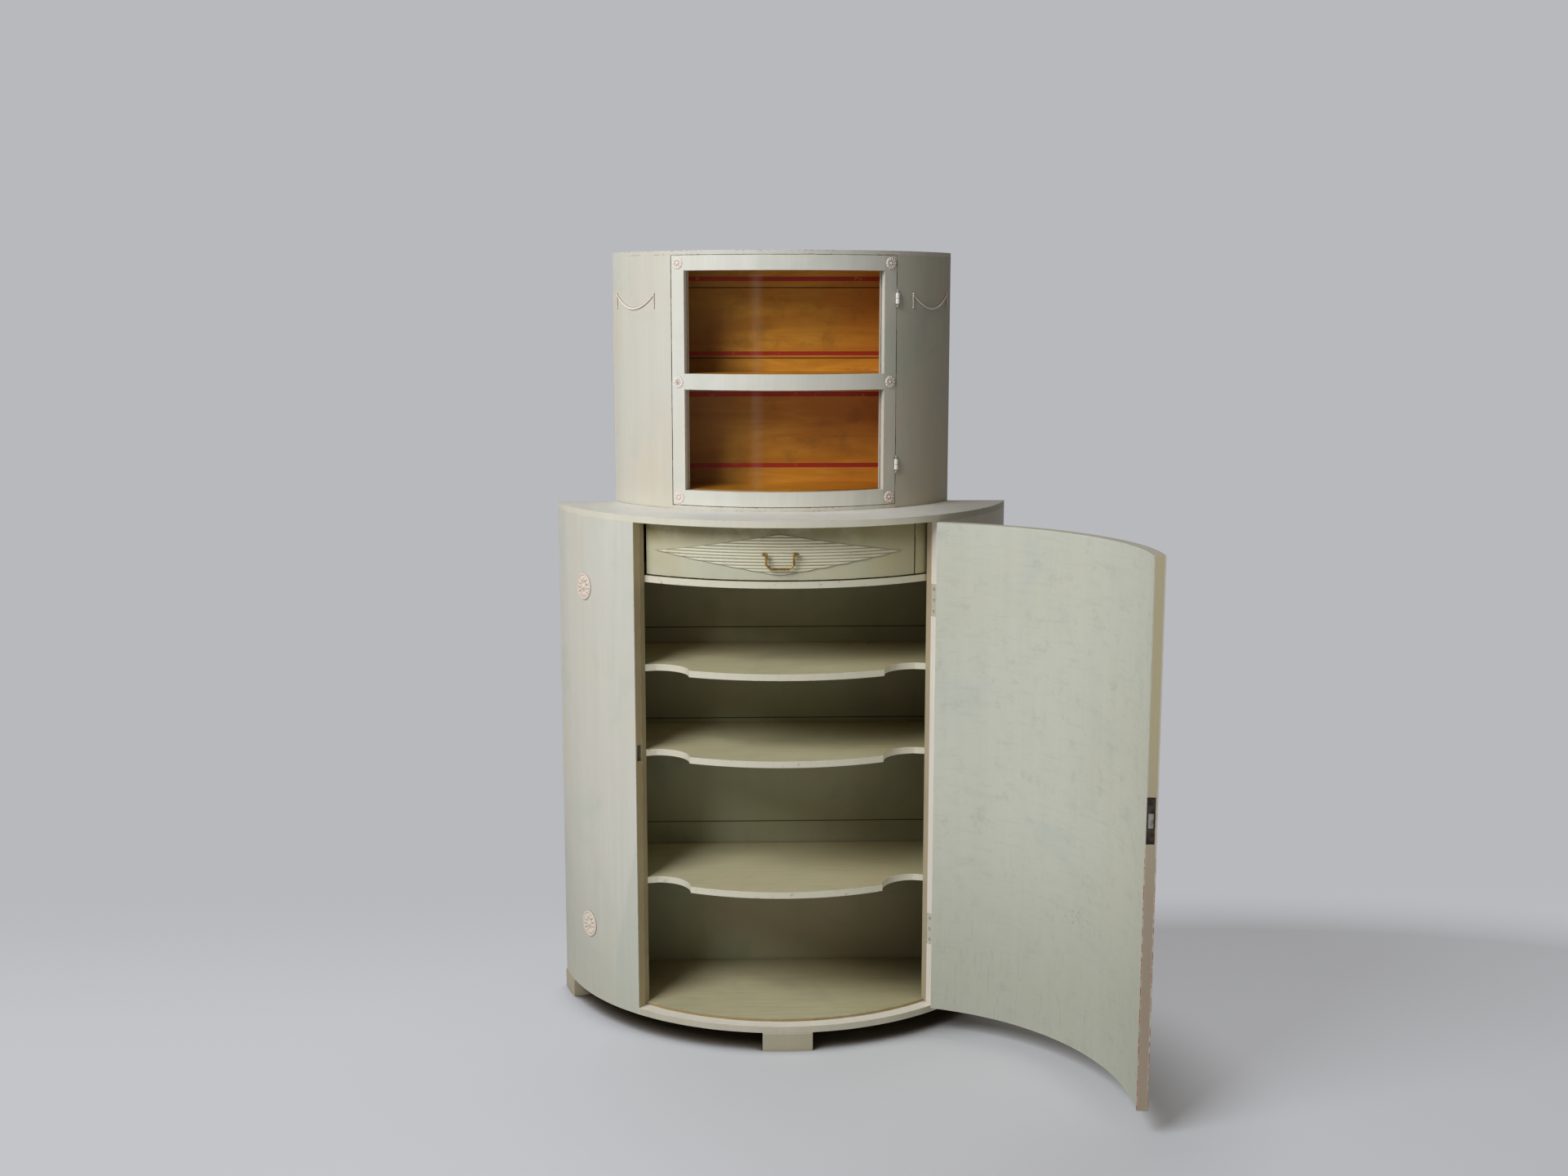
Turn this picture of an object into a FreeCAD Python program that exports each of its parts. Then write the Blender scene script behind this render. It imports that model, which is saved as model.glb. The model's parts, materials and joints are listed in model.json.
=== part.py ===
import FreeCAD, Part
import math
import os
import Sketcher

# A painted half-round storage cabinet in two tiers.
# The lower cupboard has a flat back, a bowed front, one curved door, a small
# drawer under the top and three shelves.  The smaller glazed vitrine on top has
# its own curved glass door.  Up is +Z and the front faces -Y.  The origin is on
# the floor, under the middle of the front foot.  The lower door is modelled
# standing open, and the glazed door and the drawer are modelled shut.

document = FreeCAD.newDocument("Cabinet")
sheet = document.addObject("Spreadsheet::Sheet", "Sizes")
derived = document.addObject("App::VarSet", "Derived")


class Size:
    """A length or angle: the formula that the model keeps, and its present value."""

    def __init__(self, text, value):
        self.text = text
        self.value = float(value)

    def __add__(self, other):
        return join(self, "+", other, lambda a, b: a + b)

    def __radd__(self, other):
        return join(other, "+", self, lambda a, b: a + b)

    def __sub__(self, other):
        return join(self, "-", other, lambda a, b: a - b)

    def __rsub__(self, other):
        return join(other, "-", self, lambda a, b: a - b)

    def __mul__(self, other):
        return join(self, "*", other, lambda a, b: a * b)

    def __rmul__(self, other):
        return join(other, "*", self, lambda a, b: a * b)

    def __truediv__(self, other):
        return join(self, "/", other, lambda a, b: a / b)

    def __neg__(self):
        return join(0, "-", self, lambda a, b: a - b)


def size_of(number):
    if isinstance(number, Size):
        return number
    return Size("(" + repr(float(number)) + ")", number)


def join(left, sign, right, rule):
    left = size_of(left)
    right = size_of(right)
    return Size(f"({left.text} {sign} {right.text})", rule(left.value, right.value))


def root(size):
    return Size(f"sqrt({size.text})", math.sqrt(size.value))


def sine(angle):
    angle = size_of(angle)
    return Size(f"sin({angle.text})", math.sin(math.radians(angle.value)))


def cosine(angle):
    angle = size_of(angle)
    return Size(f"cos({angle.text})", math.cos(math.radians(angle.value)))


def arc_sine(ratio):
    return Size(f"(asin({ratio.text}) / 1 deg)", math.degrees(math.asin(ratio.value)))


def chord_depth(radius, half_chord):
    """Distance from the centre of a circle to a chord of the given half length."""
    return root(radius * radius - half_chord * half_chord)


def derive(name, formula):
    derived.addProperty("App::PropertyFloat", name, "Derived")
    derived.setExpression(name, formula.text)
    return Size("Derived." + name, formula.value)


# Driving dimensions in millimetres and degrees.
# Heights of shelves and fittings are measured above the underside of the tier
# that holds them, and angles are measured from the middle of the front.

driving_sizes = {
    # Overall
    "lower_width": 1000,
    "lower_depth": 394,
    "carcass_height": 1090,
    "foot_height": 40,
    "foot_depth": 44,
    "foot_proud": 2,
    "front_foot_half_angle": 5.9,
    "back_foot_angle": 67.7,
    "vitrine_width": 743,
    "vitrine_depth": 225,
    "vitrine_height": 546,
    # Boards of the lower tier
    "side_thickness": 20,
    "board_thickness": 14,
    "shelf_thickness": 14,
    "back_thickness": 12,
    "back_seam_gap": 0.8,
    "back_end_gap": 0.3,
    "first_seam_above_shelf": 52,
    "second_seam_above_shelf": 12,
    "third_seam_above_shelf": 37,
    "opening_half_angle": 38.4,
    "post_depth": 14,
    "post_width": 26,
    "floor_board_thickness": 6,
    "floor_board_setback": 28,
    "shelf_setback": 26,
    "shelf_nose_half_width": 204.5,
    "shelf_scoop_radius": 72,
    "bottom_shelf_height": 301,
    "middle_shelf_height": 584,
    "top_shelf_height": 769,
    "drawer_opening_height": 115.5,
    "divider_setback": 36,
    "cleat_thickness": 14,
    "cleat_height": 20,
    "cleat_end_gap": 8,
    # Drawer
    "drawer_setback": 40,
    "drawer_front_thickness": 18,
    "drawer_left_gap": 1.6,
    "filler_width": 41,
    "drawer_bottom_gap": 2.5,
    "drawer_top_gap": 2,
    "drawer_side_gap": 2,
    "drawer_side_thickness": 10,
    "drawer_side_top_gap": 15.2,
    "drawer_floor_thickness": 6,
    "drawer_floor_rise": 8,
    "drawer_back_drop": 6,
    "drawer_back_space": 15,
    "running_gap": 0.3,
    "guide_width": 14,
    "guide_height": 22,
    "guide_gap": 0.5,
    "guide_front_gap": 6,
    # Reeded lozenge and bail handle on the drawer
    "lozenge_left_margin": 24,
    "lozenge_right_margin": 32,
    "lozenge_above_divider": 55.5,
    "reed_count": 13,
    "reed_pitch": 6.5,
    "reed_radius": 3.4,
    "reed_base": 0.4,
    "handle_offset": 0.5,
    "handle_above_divider": 58,
    "handle_setback": 29,
    "bail_half_width": 28.5,
    "bail_drop": 30.5,
    "bail_chamfer": 9,
    "bail_rod_radius": 2.5,
    "bail_knob_radius": 3.2,
    "bail_pin_radius": 1.5,
    "bail_finial_radius": 2.6,
    "bail_finial_tip_radius": 0.43,
    "bail_finial_length": 4.2,
    "lug_offset": 33.5,
    "lug_thickness": 4,
    "lug_radius": 4,
    "lug_shank_radius": 1.7,
    "lug_shank_tail": 5,
    "lug_hole_gap": 0.1,
    "lug_gap": 0.3,
    "nut_gap": 0.1,
    "pin_clearance": 0.05,
    "nut_radius": 5,
    "nut_thickness": 4,
    # Lower door
    "door_thickness": 21.5,
    "door_side_gap": 1.2,
    "door_bottom_gap": 1.5,
    "door_top_gap": 0.5,
    "door_open_angle": 123,
    "hinge_axis_proud": 1,
    "hinge_low": 150,
    "hinge_high": 873,
    "hinge_height": 68,
    "hinge_leaf_width": 20,
    "hinge_leaf_thickness": 2,
    "hinge_knuckle_radius": 3.5,
    "hinge_pin_radius": 1.6,
    "knuckle_gap": 0.3,
    "relief_gap": 0.7,
    "screw_head_radius": 3.5,
    "screw_head_depth": 2,
    "screw_shank_radius": 1.5,
    "screw_length": 14,
    "screw_margin": 10,
    # Lock of the lower door
    "lock_bottom": 537,
    "lock_height": 90,
    "lock_outer_setback": 4,
    "lock_width": 16,
    "lock_plate_thickness": 2,
    "lock_case_height": 70,
    "lock_case_width": 13,
    "lock_case_depth": 38,
    "bolt_bottom": 568,
    "bolt_height": 28,
    "bolt_width": 10,
    "bolt_length": 28,
    "bolt_throw": 9,
    "strike_end_gap": 3,
    "strike_margin": 2.5,
    "keyhole_drop": 14,
    "keyhole_radius": 3,
    "keyhole_inset": 22,
    # Vitrine boards
    "vitrine_side_thickness": 20,
    "vitrine_top_thickness": 9,
    "vitrine_base_thickness": 8.5,
    "vitrine_floor_height": 43,
    "vitrine_floor_thickness": 14,
    "vitrine_shelf_height": 289,
    "vitrine_shelf_setback": 27,
    "vitrine_first_seam": 318,
    "vitrine_second_seam": 471,
    "bearer_width": 22,
    "bearer_offset": 190,
    "vitrine_opening_half_angle": 34.9,
    # Vitrine door
    "frame_thickness": 19,
    "glass_half_angle": 30.4,
    "frame_bottom": 9.5,
    "bottom_rail_top": 41.5,
    "middle_rail_bottom": 255.5,
    "middle_rail_top": 289,
    "top_rail_bottom": 504.5,
    "frame_top": 536.5,
    "frame_side_gap": 1.2,
    "glass_setback": 11,
    "glass_thickness": 3,
    "rebate_width": 6,
    "glass_edge_gap": 0.5,
    "barrel_axis_proud": 2.5,
    "barrel_radius": 4.8,
    "barrel_pin_radius": 2,
    "barrel_height": 23,
    "barrel_low": 83,
    "barrel_high": 435.5,
    "barrel_leaf_width": 16,
    "barrel_leaf_thickness": 1.6,
    "barrel_pin_inset": 1,
    "barrel_plug_height": 6,
    "barrel_finial_length": 8,
    "vitrine_lock_middle": 273,
    "vitrine_lock_height": 46,
    "vitrine_lock_width": 9,
    "vitrine_lock_depth": 24,
    "vitrine_lock_setback": 5,
    "vitrine_bolt_height": 14,
    "vitrine_bolt_width": 5,
    "vitrine_bolt_length": 16,
    "vitrine_bolt_throw": 6,
    "vitrine_keyhole_radius": 2.1,
    # Ornament
    "rosette_angle": 57.2,
    "rosette_low": 164,
    "rosette_high": 923,
    "rosette_radius": 29,
    "rosette_relief": 2.5,
    "rosette_dome_radius": 9,
    "rosette_petals": 12,
    "rosette_petal_radius": 6.5,
    "rosette_petal_circle": 17,
    "rosette_rim_radius": 2,
    "small_rosette_angle": 32.55,
    "small_rosette_low": 25,
    "small_rosette_middle": 271,
    "small_rosette_high": 520,
    "small_rosette_radius": 12.5,
    "small_rosette_relief": 1.4,
    "small_rosette_beads": 10,
    "small_rosette_bead_radius": 2.4,
    "small_rosette_bead_circle": 9.2,
    "small_rosette_dome_radius": 3.6,
    "garland_angle": 50.25,
    "garland_half_angle": 9,
    "garland_height": 457,
    "garland_drop": 32,
    "garland_rod_radius": 2.2,
    "tassel_beads": 7,
    "tassel_pitch": 5,
    "tassel_bead_radius": 2,
    "tassel_cord_radius": 0.8,
}


class SizeCells:
    """The driving dimensions as cells of the sheet, read by name."""

    def __init__(self, values):
        for row, (name, value) in enumerate(values.items(), start=1):
            sheet.set(f"A{row}", name)
            sheet.set(f"B{row}", str(value))
            sheet.setAlias(f"B{row}", name)
            setattr(self, name, Size("Sizes." + name, value))


size = SizeCells(driving_sizes)
document.recompute()

# Radii of the two plans, found from width and depth, and where they are centred

lower_radius = derive(
    "lower_radius",
    (size.lower_width * size.lower_width / 4 + size.lower_depth * size.lower_depth)
    / (2 * size.lower_depth),
)
vitrine_radius = derive(
    "vitrine_radius",
    (size.vitrine_width * size.vitrine_width / 4 + size.vitrine_depth * size.vitrine_depth)
    / (2 * size.vitrine_depth),
)
front_face = derive("front_face", size.foot_proud - size.foot_depth / 2)
back_face = derive("back_face", front_face + size.lower_depth)
lower_centre = derive("lower_centre", front_face + lower_radius)
vitrine_centre = derive("vitrine_centre", back_face - size.vitrine_depth + vitrine_radius)
vitrine_bottom = derive("vitrine_bottom", size.foot_height + size.carcass_height)
lower_inner = derive("lower_inner", lower_radius - size.side_thickness)
post_inner = derive("post_inner", lower_inner - size.post_depth)
post_back_angle = derive(
    "post_back_angle",
    size.opening_half_angle + size.post_width / lower_radius * (180 / math.pi),
)
vitrine_inner = derive("vitrine_inner", vitrine_radius - size.vitrine_side_thickness)
lower_back = derive("lower_back", size.lower_depth - lower_radius)
lower_back_inner = derive("lower_back_inner", lower_back - size.back_thickness)
vitrine_back = derive("vitrine_back", size.vitrine_depth - vitrine_radius)
vitrine_back_inner = derive("vitrine_back_inner", vitrine_back - size.back_thickness)
carcass_top = derive("carcass_top", size.carcass_height - size.board_thickness)
divider_top = derive("divider_top", carcass_top - size.drawer_opening_height)
vitrine_ceiling = derive("vitrine_ceiling", size.vitrine_height - size.vitrine_top_thickness)

lower_half_gap = derive("lower_half_gap", size.door_side_gap / 2)
door_half_angle = derive(
    "door_half_angle",
    size.opening_half_angle - size.door_side_gap / lower_radius * (180 / math.pi),
)
frame_half_angle = derive(
    "frame_half_angle",
    size.vitrine_opening_half_angle - size.frame_side_gap / vitrine_radius * (180 / math.pi),
)
lower_gap_angle = derive(
    "lower_gap_angle", (size.opening_half_angle + door_half_angle) / 2
)
vitrine_gap_angle = derive(
    "vitrine_gap_angle", (size.vitrine_opening_half_angle + frame_half_angle) / 2
)
vitrine_half_gap = derive("vitrine_half_gap", size.frame_side_gap / 2)


class Tier:
    """Where a tier's plan is centred, its outer radius, and its underside."""

    def __init__(self, centre, radius, bottom):
        self.centre = centre
        self.radius = radius
        self.bottom = bottom


lower = Tier(lower_centre, lower_radius, size.foot_height)
vitrine = Tier(vitrine_centre, vitrine_radius, vitrine_bottom)
QUARTER_TURN = 90
FULL_TURN = 360
# How far a cutting tool runs past what it cuts
OVERSHOOT = 1
SCREWS_PER_LEAF = 3
NUT_SIDES = 4
FACING_FRONT = FreeCAD.Rotation(FreeCAD.Vector(1, 0, 0), QUARTER_TURN)
FACING_RIGHT = FreeCAD.Rotation(FreeCAD.Vector(0, 1, 0), QUARTER_TURN)
UPRIGHT = FreeCAD.Rotation(FreeCAD.Vector(0, 0, 1), 0)
sub_parts = []


# Placing and combining

def place(piece, across=0, along=0, up=0, turn=None, rotation=UPRIGHT):
    """Put a piece at a point, turned about the vertical or by a fixed rotation."""
    piece.Placement = FreeCAD.Placement(FreeCAD.Vector(), rotation)
    for axis, value in (("x", across), ("y", along), ("z", up)):
        piece.setExpression("Placement.Base." + axis, size_of(value).text)
    if turn is not None:
        piece.setExpression("Placement.Rotation.Angle", size_of(turn).text)
    return piece


def make(kind, name, **sizes):
    piece = document.addObject(kind, name)
    for key, value in sizes.items():
        piece.setExpression(key, size_of(value).text)
    return piece


def cut(name, base, *tools):
    tool = tools[0] if len(tools) == 1 else fuse(name + "_tools", *tools)
    piece = document.addObject("Part::Cut", name)
    piece.Base = base
    piece.Tool = tool
    return piece


def fuse(name, *pieces):
    piece = document.addObject("Part::MultiFuse", name)
    piece.Shapes = list(pieces)
    return piece


def common(name, *pieces):
    piece = document.addObject("Part::MultiCommon", name)
    piece.Shapes = list(pieces)
    return piece


def group(name, *pieces):
    piece = document.addObject("Part::Compound", name)
    piece.Links = list(pieces)
    return piece


def mirrored(name, source):
    piece = document.addObject("Part::Mirroring", name)
    piece.Source = source
    piece.Normal = FreeCAD.Vector(1, 0, 0)
    return piece


def sub_part(label, piece):
    """Name a finished piece of the cabinet."""
    piece.Label = label
    sub_parts.append(piece)
    return piece


def turned(name, tier, angle, *pieces, up=0):
    """Carry pieces drawn on the tier's middle line to an angle and a height."""
    holder = group(name, *pieces)
    return place(holder, 0, tier.centre, tier.bottom + up, turn=angle)


def swung(label, *pieces):
    """Turn pieces of the lower door about its hinge, from shut to standing open."""
    holder = group(label + "_open", *pieces)
    angle = size.door_open_angle
    reach = lower_radius + size.hinge_axis_proud
    hinge_across = reach * sine(lower_gap_angle)
    hinge_along = lower_centre - reach * cosine(lower_gap_angle)
    place(
        holder,
        hinge_across - hinge_across * cosine(angle) + hinge_along * sine(angle),
        hinge_along - hinge_across * sine(angle) - hinge_along * cosine(angle),
        turn=angle,
    )
    return sub_part(label, holder)


# Outlines, pads and turned rings

class Corner:
    """A corner of an outline, and how the edge that leaves it bends."""

    def __init__(self, across, along, radius=None, hollow=False):
        self.across = size_of(across)
        self.along = size_of(along)
        self.radius = radius
        self.hollow = hollow


def polar(radius, angle, bend=None, hollow=False):
    """A corner on a circle about the plan's centre, by angle from the front."""
    return Corner(radius * sine(angle), -(radius * cosine(angle)), bend, hollow)


def add_edge(sketch, corner, following):
    """Draw one edge and say which of its ends comes first."""
    start = FreeCAD.Vector(corner.across.value, corner.along.value, 0)
    end = FreeCAD.Vector(following.across.value, following.along.value, 0)
    if corner.radius is None:
        return sketch.addGeometry(Part.LineSegment(start, end), False), 1, 2
    if corner.hollow:
        start, end = end, start
    radius = corner.radius.value
    chord = end - start
    rise = math.sqrt(radius * radius - chord.Length * chord.Length / 4)
    left = FreeCAD.Vector(-chord.y, chord.x, 0).normalize()
    centre = (start + end) / 2 + left * rise
    first = math.atan2(start.y - centre.y, start.x - centre.x)
    last = math.atan2(end.y - centre.y, end.x - centre.x)
    circle = Part.Circle(centre, FreeCAD.Vector(0, 0, 1), radius)
    edge = sketch.addGeometry(Part.ArcOfCircle(circle, first, last), False)
    if corner.hollow:
        return edge, 2, 1
    return edge, 1, 2


def bind(sketch, constraint, value):
    index = sketch.addConstraint(constraint)
    sketch.setExpression(f"Constraints[{index}]", value.text)


def draw_outline(body, role, corners):
    """A closed sketch on one of the body's own planes, every corner bound to the sheet."""
    sketch = body.newObject("Sketcher::SketchObject", body.Name + "_outline")
    plane = next(item for item in body.Origin.OriginFeatures if item.Role == role)
    sketch.AttachmentSupport = [(plane, "")]
    sketch.MapMode = "FlatFace"
    count = len(corners)
    edges = [add_edge(sketch, corners[i], corners[(i + 1) % count]) for i in range(count)]
    for i in range(count):
        edge, first, last = edges[i]
        following, following_first, _ = edges[(i + 1) % count]
        sketch.addConstraint(
            Sketcher.Constraint("Coincident", edge, last, following, following_first)
        )
        corner = corners[i]
        across = Sketcher.Constraint("DistanceX", -1, 1, edge, first, corner.across.value)
        along = Sketcher.Constraint("DistanceY", -1, 1, edge, first, corner.along.value)
        bind(sketch, across, corner.across)
        bind(sketch, along, corner.along)
        if corner.radius is not None:
            bind(sketch, Sketcher.Constraint("Radius", edge, corner.radius.value), corner.radius)
    return sketch


def board(name, tier, corners, bottom, thickness):
    """A flat board of the given plan outline."""
    body = document.addObject("PartDesign::Body", name)
    pad = body.newObject("PartDesign::Pad", name + "_pad")
    pad.Profile = draw_outline(body, "XY_Plane", corners)
    pad.setExpression("Length", size_of(thickness).text)
    return place(body, 0, tier.centre, tier.bottom + bottom)


def turned_body(name, tier, corners, start, end):
    """A profile of radius and height, turned about the plan's centre."""
    body = document.addObject("PartDesign::Body", name)
    sketch = draw_outline(body, "XZ_Plane", corners)
    revolution = body.newObject("PartDesign::Revolution", name + "_turn")
    revolution.Profile = sketch
    revolution.ReferenceAxis = (sketch, ["V_Axis"])
    revolution.setExpression("Angle", (size_of(end) - start).text)
    return place(body, 0, tier.centre, tier.bottom, turn=size_of(start) - 90)


def ring(name, tier, inner, outer, bottom, top, start, end):
    """A curved wall of rectangular section between two angles."""
    corners = [
        Corner(inner, bottom),
        Corner(outer, bottom),
        Corner(outer, top),
        Corner(inner, top),
    ]
    return turned_body(name, tier, corners, start, end)


def box(name, across, along, up, origin_along=0, origin_up=0):
    """A box between two values on each axis."""
    piece = make(
        "Part::Box",
        name,
        Length=size_of(across[1]) - across[0],
        Width=size_of(along[1]) - along[0],
        Height=size_of(up[1]) - up[0],
    )
    return place(piece, across[0], size_of(origin_along) + along[0], size_of(origin_up) + up[0])


def plan_box(name, tier, across, along, up):
    """A box measured from a tier's plan centre and underside."""
    return box(name, across, along, up, tier.centre, tier.bottom)


def post_cylinder(name, radius, across, along, bottom, top):
    piece = make("Part::Cylinder", name, Radius=radius, Height=size_of(top) - bottom)
    return place(piece, across, along, bottom)


def sphere(name, radius, across, along, up):
    return place(make("Part::Sphere", name, Radius=radius), across, along, up)


def plan_cylinder(name, tier, radius, bottom, top):
    """An upright cylinder about the tier's plan centre."""
    piece = make("Part::Cylinder", name, Radius=radius, Height=size_of(top) - bottom)
    return place(piece, 0, tier.centre, tier.bottom + bottom)


# Boards of the lower tier

def back_half_width(radius, depth):
    """Half the width of a plan circle along a line parallel to the back."""
    return chord_depth(radius, depth)


def side_panel_blank(name, tier, radius, inner, back, opening, top):
    """The right-hand curved side, from the opening to the flat back."""
    corners = [
        polar(radius, opening, bend=radius),
        Corner(back_half_width(radius, back), back),
        Corner(back_half_width(inner, back), back, inner, hollow=True),
        polar(inner, opening),
    ]
    return board(name, tier, corners, 0, top)


def segment_board(name, tier, radius, back, bottom, thickness):
    """A board whose front is one arc and whose back is straight."""
    half = back_half_width(radius, back)
    corners = [Corner(-half, back, radius), Corner(half, back)]
    return board(name, tier, corners, bottom, thickness)


def nosed_board(name, tier, inner, radius, back, opening, bottom, thickness):
    """A board inside the sides, with a nose that fills the opening to the outer face."""
    half = back_half_width(inner, back)
    corners = [
        Corner(-half, back, inner),
        polar(inner, -opening),
        polar(radius, -opening, bend=radius),
        polar(radius, opening),
        polar(inner, opening, bend=inner),
        Corner(half, back),
    ]
    return board(name, tier, corners, bottom, thickness)


def lower_inner_board(name, front_corners, bottom, thickness):
    """A board of the lower tier that passes round the jamb posts."""
    half = back_half_width(lower_inner, lower_back_inner)
    corners = [
        Corner(-half, lower_back_inner, lower_inner),
        polar(lower_inner, -post_back_angle),
        *front_corners,
        polar(lower_inner, post_back_angle, bend=lower_inner),
        Corner(half, lower_back_inner),
    ]
    return board(name, lower, corners, bottom, thickness)


def shelf_front():
    """The bowed nose of a shelf and the quarter-round scoop at each end of it."""
    nose_radius = lower_radius - size.shelf_setback
    nose = size.shelf_nose_half_width
    scoop = size.shelf_scoop_radius
    nose_along = -chord_depth(nose_radius, nose)
    opening = size.opening_half_angle
    return [
        polar(post_inner, -post_back_angle),
        polar(post_inner, -opening),
        Corner(-(nose + scoop), nose_along + scoop, scoop, hollow=True),
        Corner(-nose, nose_along, nose_radius),
        Corner(nose, nose_along, scoop, hollow=True),
        Corner(nose + scoop, nose_along + scoop),
        polar(post_inner, opening),
        polar(post_inner, post_back_angle),
    ]


def make_lower_boards():
    sub_part(
        "lower_top_board",
        segment_board(
            "top_board", lower, lower_radius, lower_back, carcass_top, size.board_thickness
        ),
    )
    sub_part(
        "lower_base_board",
        nosed_board(
            "base_board", lower, lower_inner, lower_radius, lower_back,
            size.opening_half_angle, 0, size.board_thickness,
        ),
    )
    lip_radius = lower_radius - size.floor_board_setback
    opening = size.opening_half_angle
    lip = [
        polar(post_inner, -post_back_angle),
        polar(post_inner, -opening),
        polar(lip_radius, -opening, bend=lip_radius),
        polar(lip_radius, opening),
        polar(post_inner, opening),
        polar(post_inner, post_back_angle),
    ]
    sub_part(
        "lower_floor_board",
        lower_inner_board(
            "floor_board", lip, size.board_thickness, size.floor_board_thickness
        ),
    )
    for label, height in (
        ("bottom_shelf", size.bottom_shelf_height),
        ("middle_shelf", size.middle_shelf_height),
        ("top_shelf", size.top_shelf_height),
    ):
        shelf = lower_inner_board(
            label + "_body", shelf_front(), height - size.shelf_thickness, size.shelf_thickness
        )
        sub_part(label, shelf)
    divider_radius = lower_radius - size.divider_setback
    divider_front = [
        polar(divider_radius, -post_back_angle, bend=divider_radius),
        polar(divider_radius, post_back_angle),
    ]
    sub_part(
        "drawer_divider",
        lower_inner_board(
            "divider", divider_front, divider_top - size.shelf_thickness,
            size.shelf_thickness,
        ),
    )


def make_lower_backs():
    half = back_half_width(lower_inner, lower_back_inner) - size.back_end_gap
    half_seam = size.back_seam_gap / 2
    edges = [
        size.board_thickness - half_seam,
        size.bottom_shelf_height + size.first_seam_above_shelf,
        size.middle_shelf_height + size.second_seam_above_shelf,
        size.top_shelf_height + size.third_seam_above_shelf,
        carcass_top + half_seam,
    ]
    for index in range(len(edges) - 1):
        plank = plan_box(
            f"lower_back_{index + 1}", lower, (-half, half), (lower_back_inner, lower_back),
            (edges[index] + half_seam, edges[index + 1] - half_seam),
        )
        sub_part(f"lower_back_board_{index + 1}", plank)


def shelf_cleats(name, tier, inner, thickness, back, start, tops):
    """Curved battens under the ends of the shelves, fixed to the sides."""
    edge = inner - thickness
    end = 90 - arc_sine(-back / edge) - size.cleat_end_gap / edge * (180 / math.pi)
    pieces = []
    for index, top in enumerate(tops):
        for side, first, last in (("left", -end, -start), ("right", start, end)):
            pieces.append(
                ring(
                    f"{name}_{side}_{index}", tier, edge, inner,
                    top - size.cleat_height, top, first, last,
                )
            )
    return group(name + "_group", *pieces)


def make_feet():
    bevel_start = size.foot_height - size.foot_proud
    corners = [
        Corner(lower_radius + size.foot_proud - size.foot_depth, -size.foot_height),
        Corner(lower_radius + size.foot_proud, -size.foot_height),
        Corner(lower_radius + size.foot_proud, bevel_start - size.foot_height),
        Corner(lower_radius, 0),
        Corner(lower_radius + size.foot_proud - size.foot_depth, 0),
    ]
    half = size.front_foot_half_angle
    sub_part("front_foot", turned_body("front_foot_body", lower, corners, -half, half))
    blank = turned_body("back_foot_blank", lower, corners, size.back_foot_angle, QUARTER_TURN)
    behind = plan_box(
        "behind_the_back", lower, (0, size.lower_width),
        (lower_back, lower_back + size.lower_depth),
        (-2 * size.foot_height, size.foot_height),
    )
    right = cut("right_back_foot_body", blank, behind)
    left = mirrored("left_back_foot_body", right)
    sub_part("right_back_foot", right)
    sub_part("left_back_foot", left)


# Hinges, drawn on the middle line of a tier with X outward along the radius and
# Y across the gap, towards the fixed jamb

class Hinge:
    def __init__(self, name, tier, proud, half_gap, gap_angle, leaf_width, leaf_thickness,
                 knuckle_radius, pin_radius, height, lows):
        self.name = name
        self.tier = tier
        self.axis = tier.radius + proud
        self.half_gap = half_gap
        self.gap_angle = gap_angle
        self.leaf_width = leaf_width
        self.leaf_thickness = leaf_thickness
        self.knuckle_radius = knuckle_radius
        self.pin_radius = pin_radius
        self.height = height
        self.lows = lows

    def carried(self, name, *pieces):
        """Carry pieces drawn on the middle line to the hinge's angle."""
        return turned(name, self.tier, self.gap_angle - 90, *pieces)


def leaf_faces(hinge, side):
    near = hinge.half_gap
    far = hinge.half_gap + hinge.leaf_thickness
    return (near, far) if side > 0 else (-far, -near)


def hinge_leaf(hinge, label, side, low, knuckles, count):
    """One leaf with its own knuckles, bored for the pin."""
    faces = leaf_faces(hinge, side)
    plate_edge = hinge.axis - hinge.knuckle_radius - size.knuckle_gap
    plate_start = hinge.tier.radius - hinge.leaf_width
    pieces = [box(label + "_plate", (plate_start, plate_edge), faces, (low, low + hinge.height))]
    step = hinge.height / count
    for knuckle in knuckles:
        bottom = low + step * knuckle
        top = bottom + step
        if knuckle > 0:
            bottom = bottom + size.knuckle_gap
        tab = f"{label}_{knuckle}"
        across = (plate_edge - OVERSHOOT, hinge.axis)
        pieces.append(box(tab + "_tab", across, faces, (bottom, top)))
        pieces.append(
            post_cylinder(tab + "_knuckle", hinge.knuckle_radius, hinge.axis, 0, bottom, top)
        )
    bore_radius = hinge.pin_radius + size.pin_clearance
    bore = post_cylinder(
        label + "_bore", bore_radius, hinge.axis, 0, low - OVERSHOOT,
        low + hinge.height + OVERSHOOT,
    )
    return cut(label + "_leaf", fuse(label + "_solid", *pieces), bore)


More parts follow.
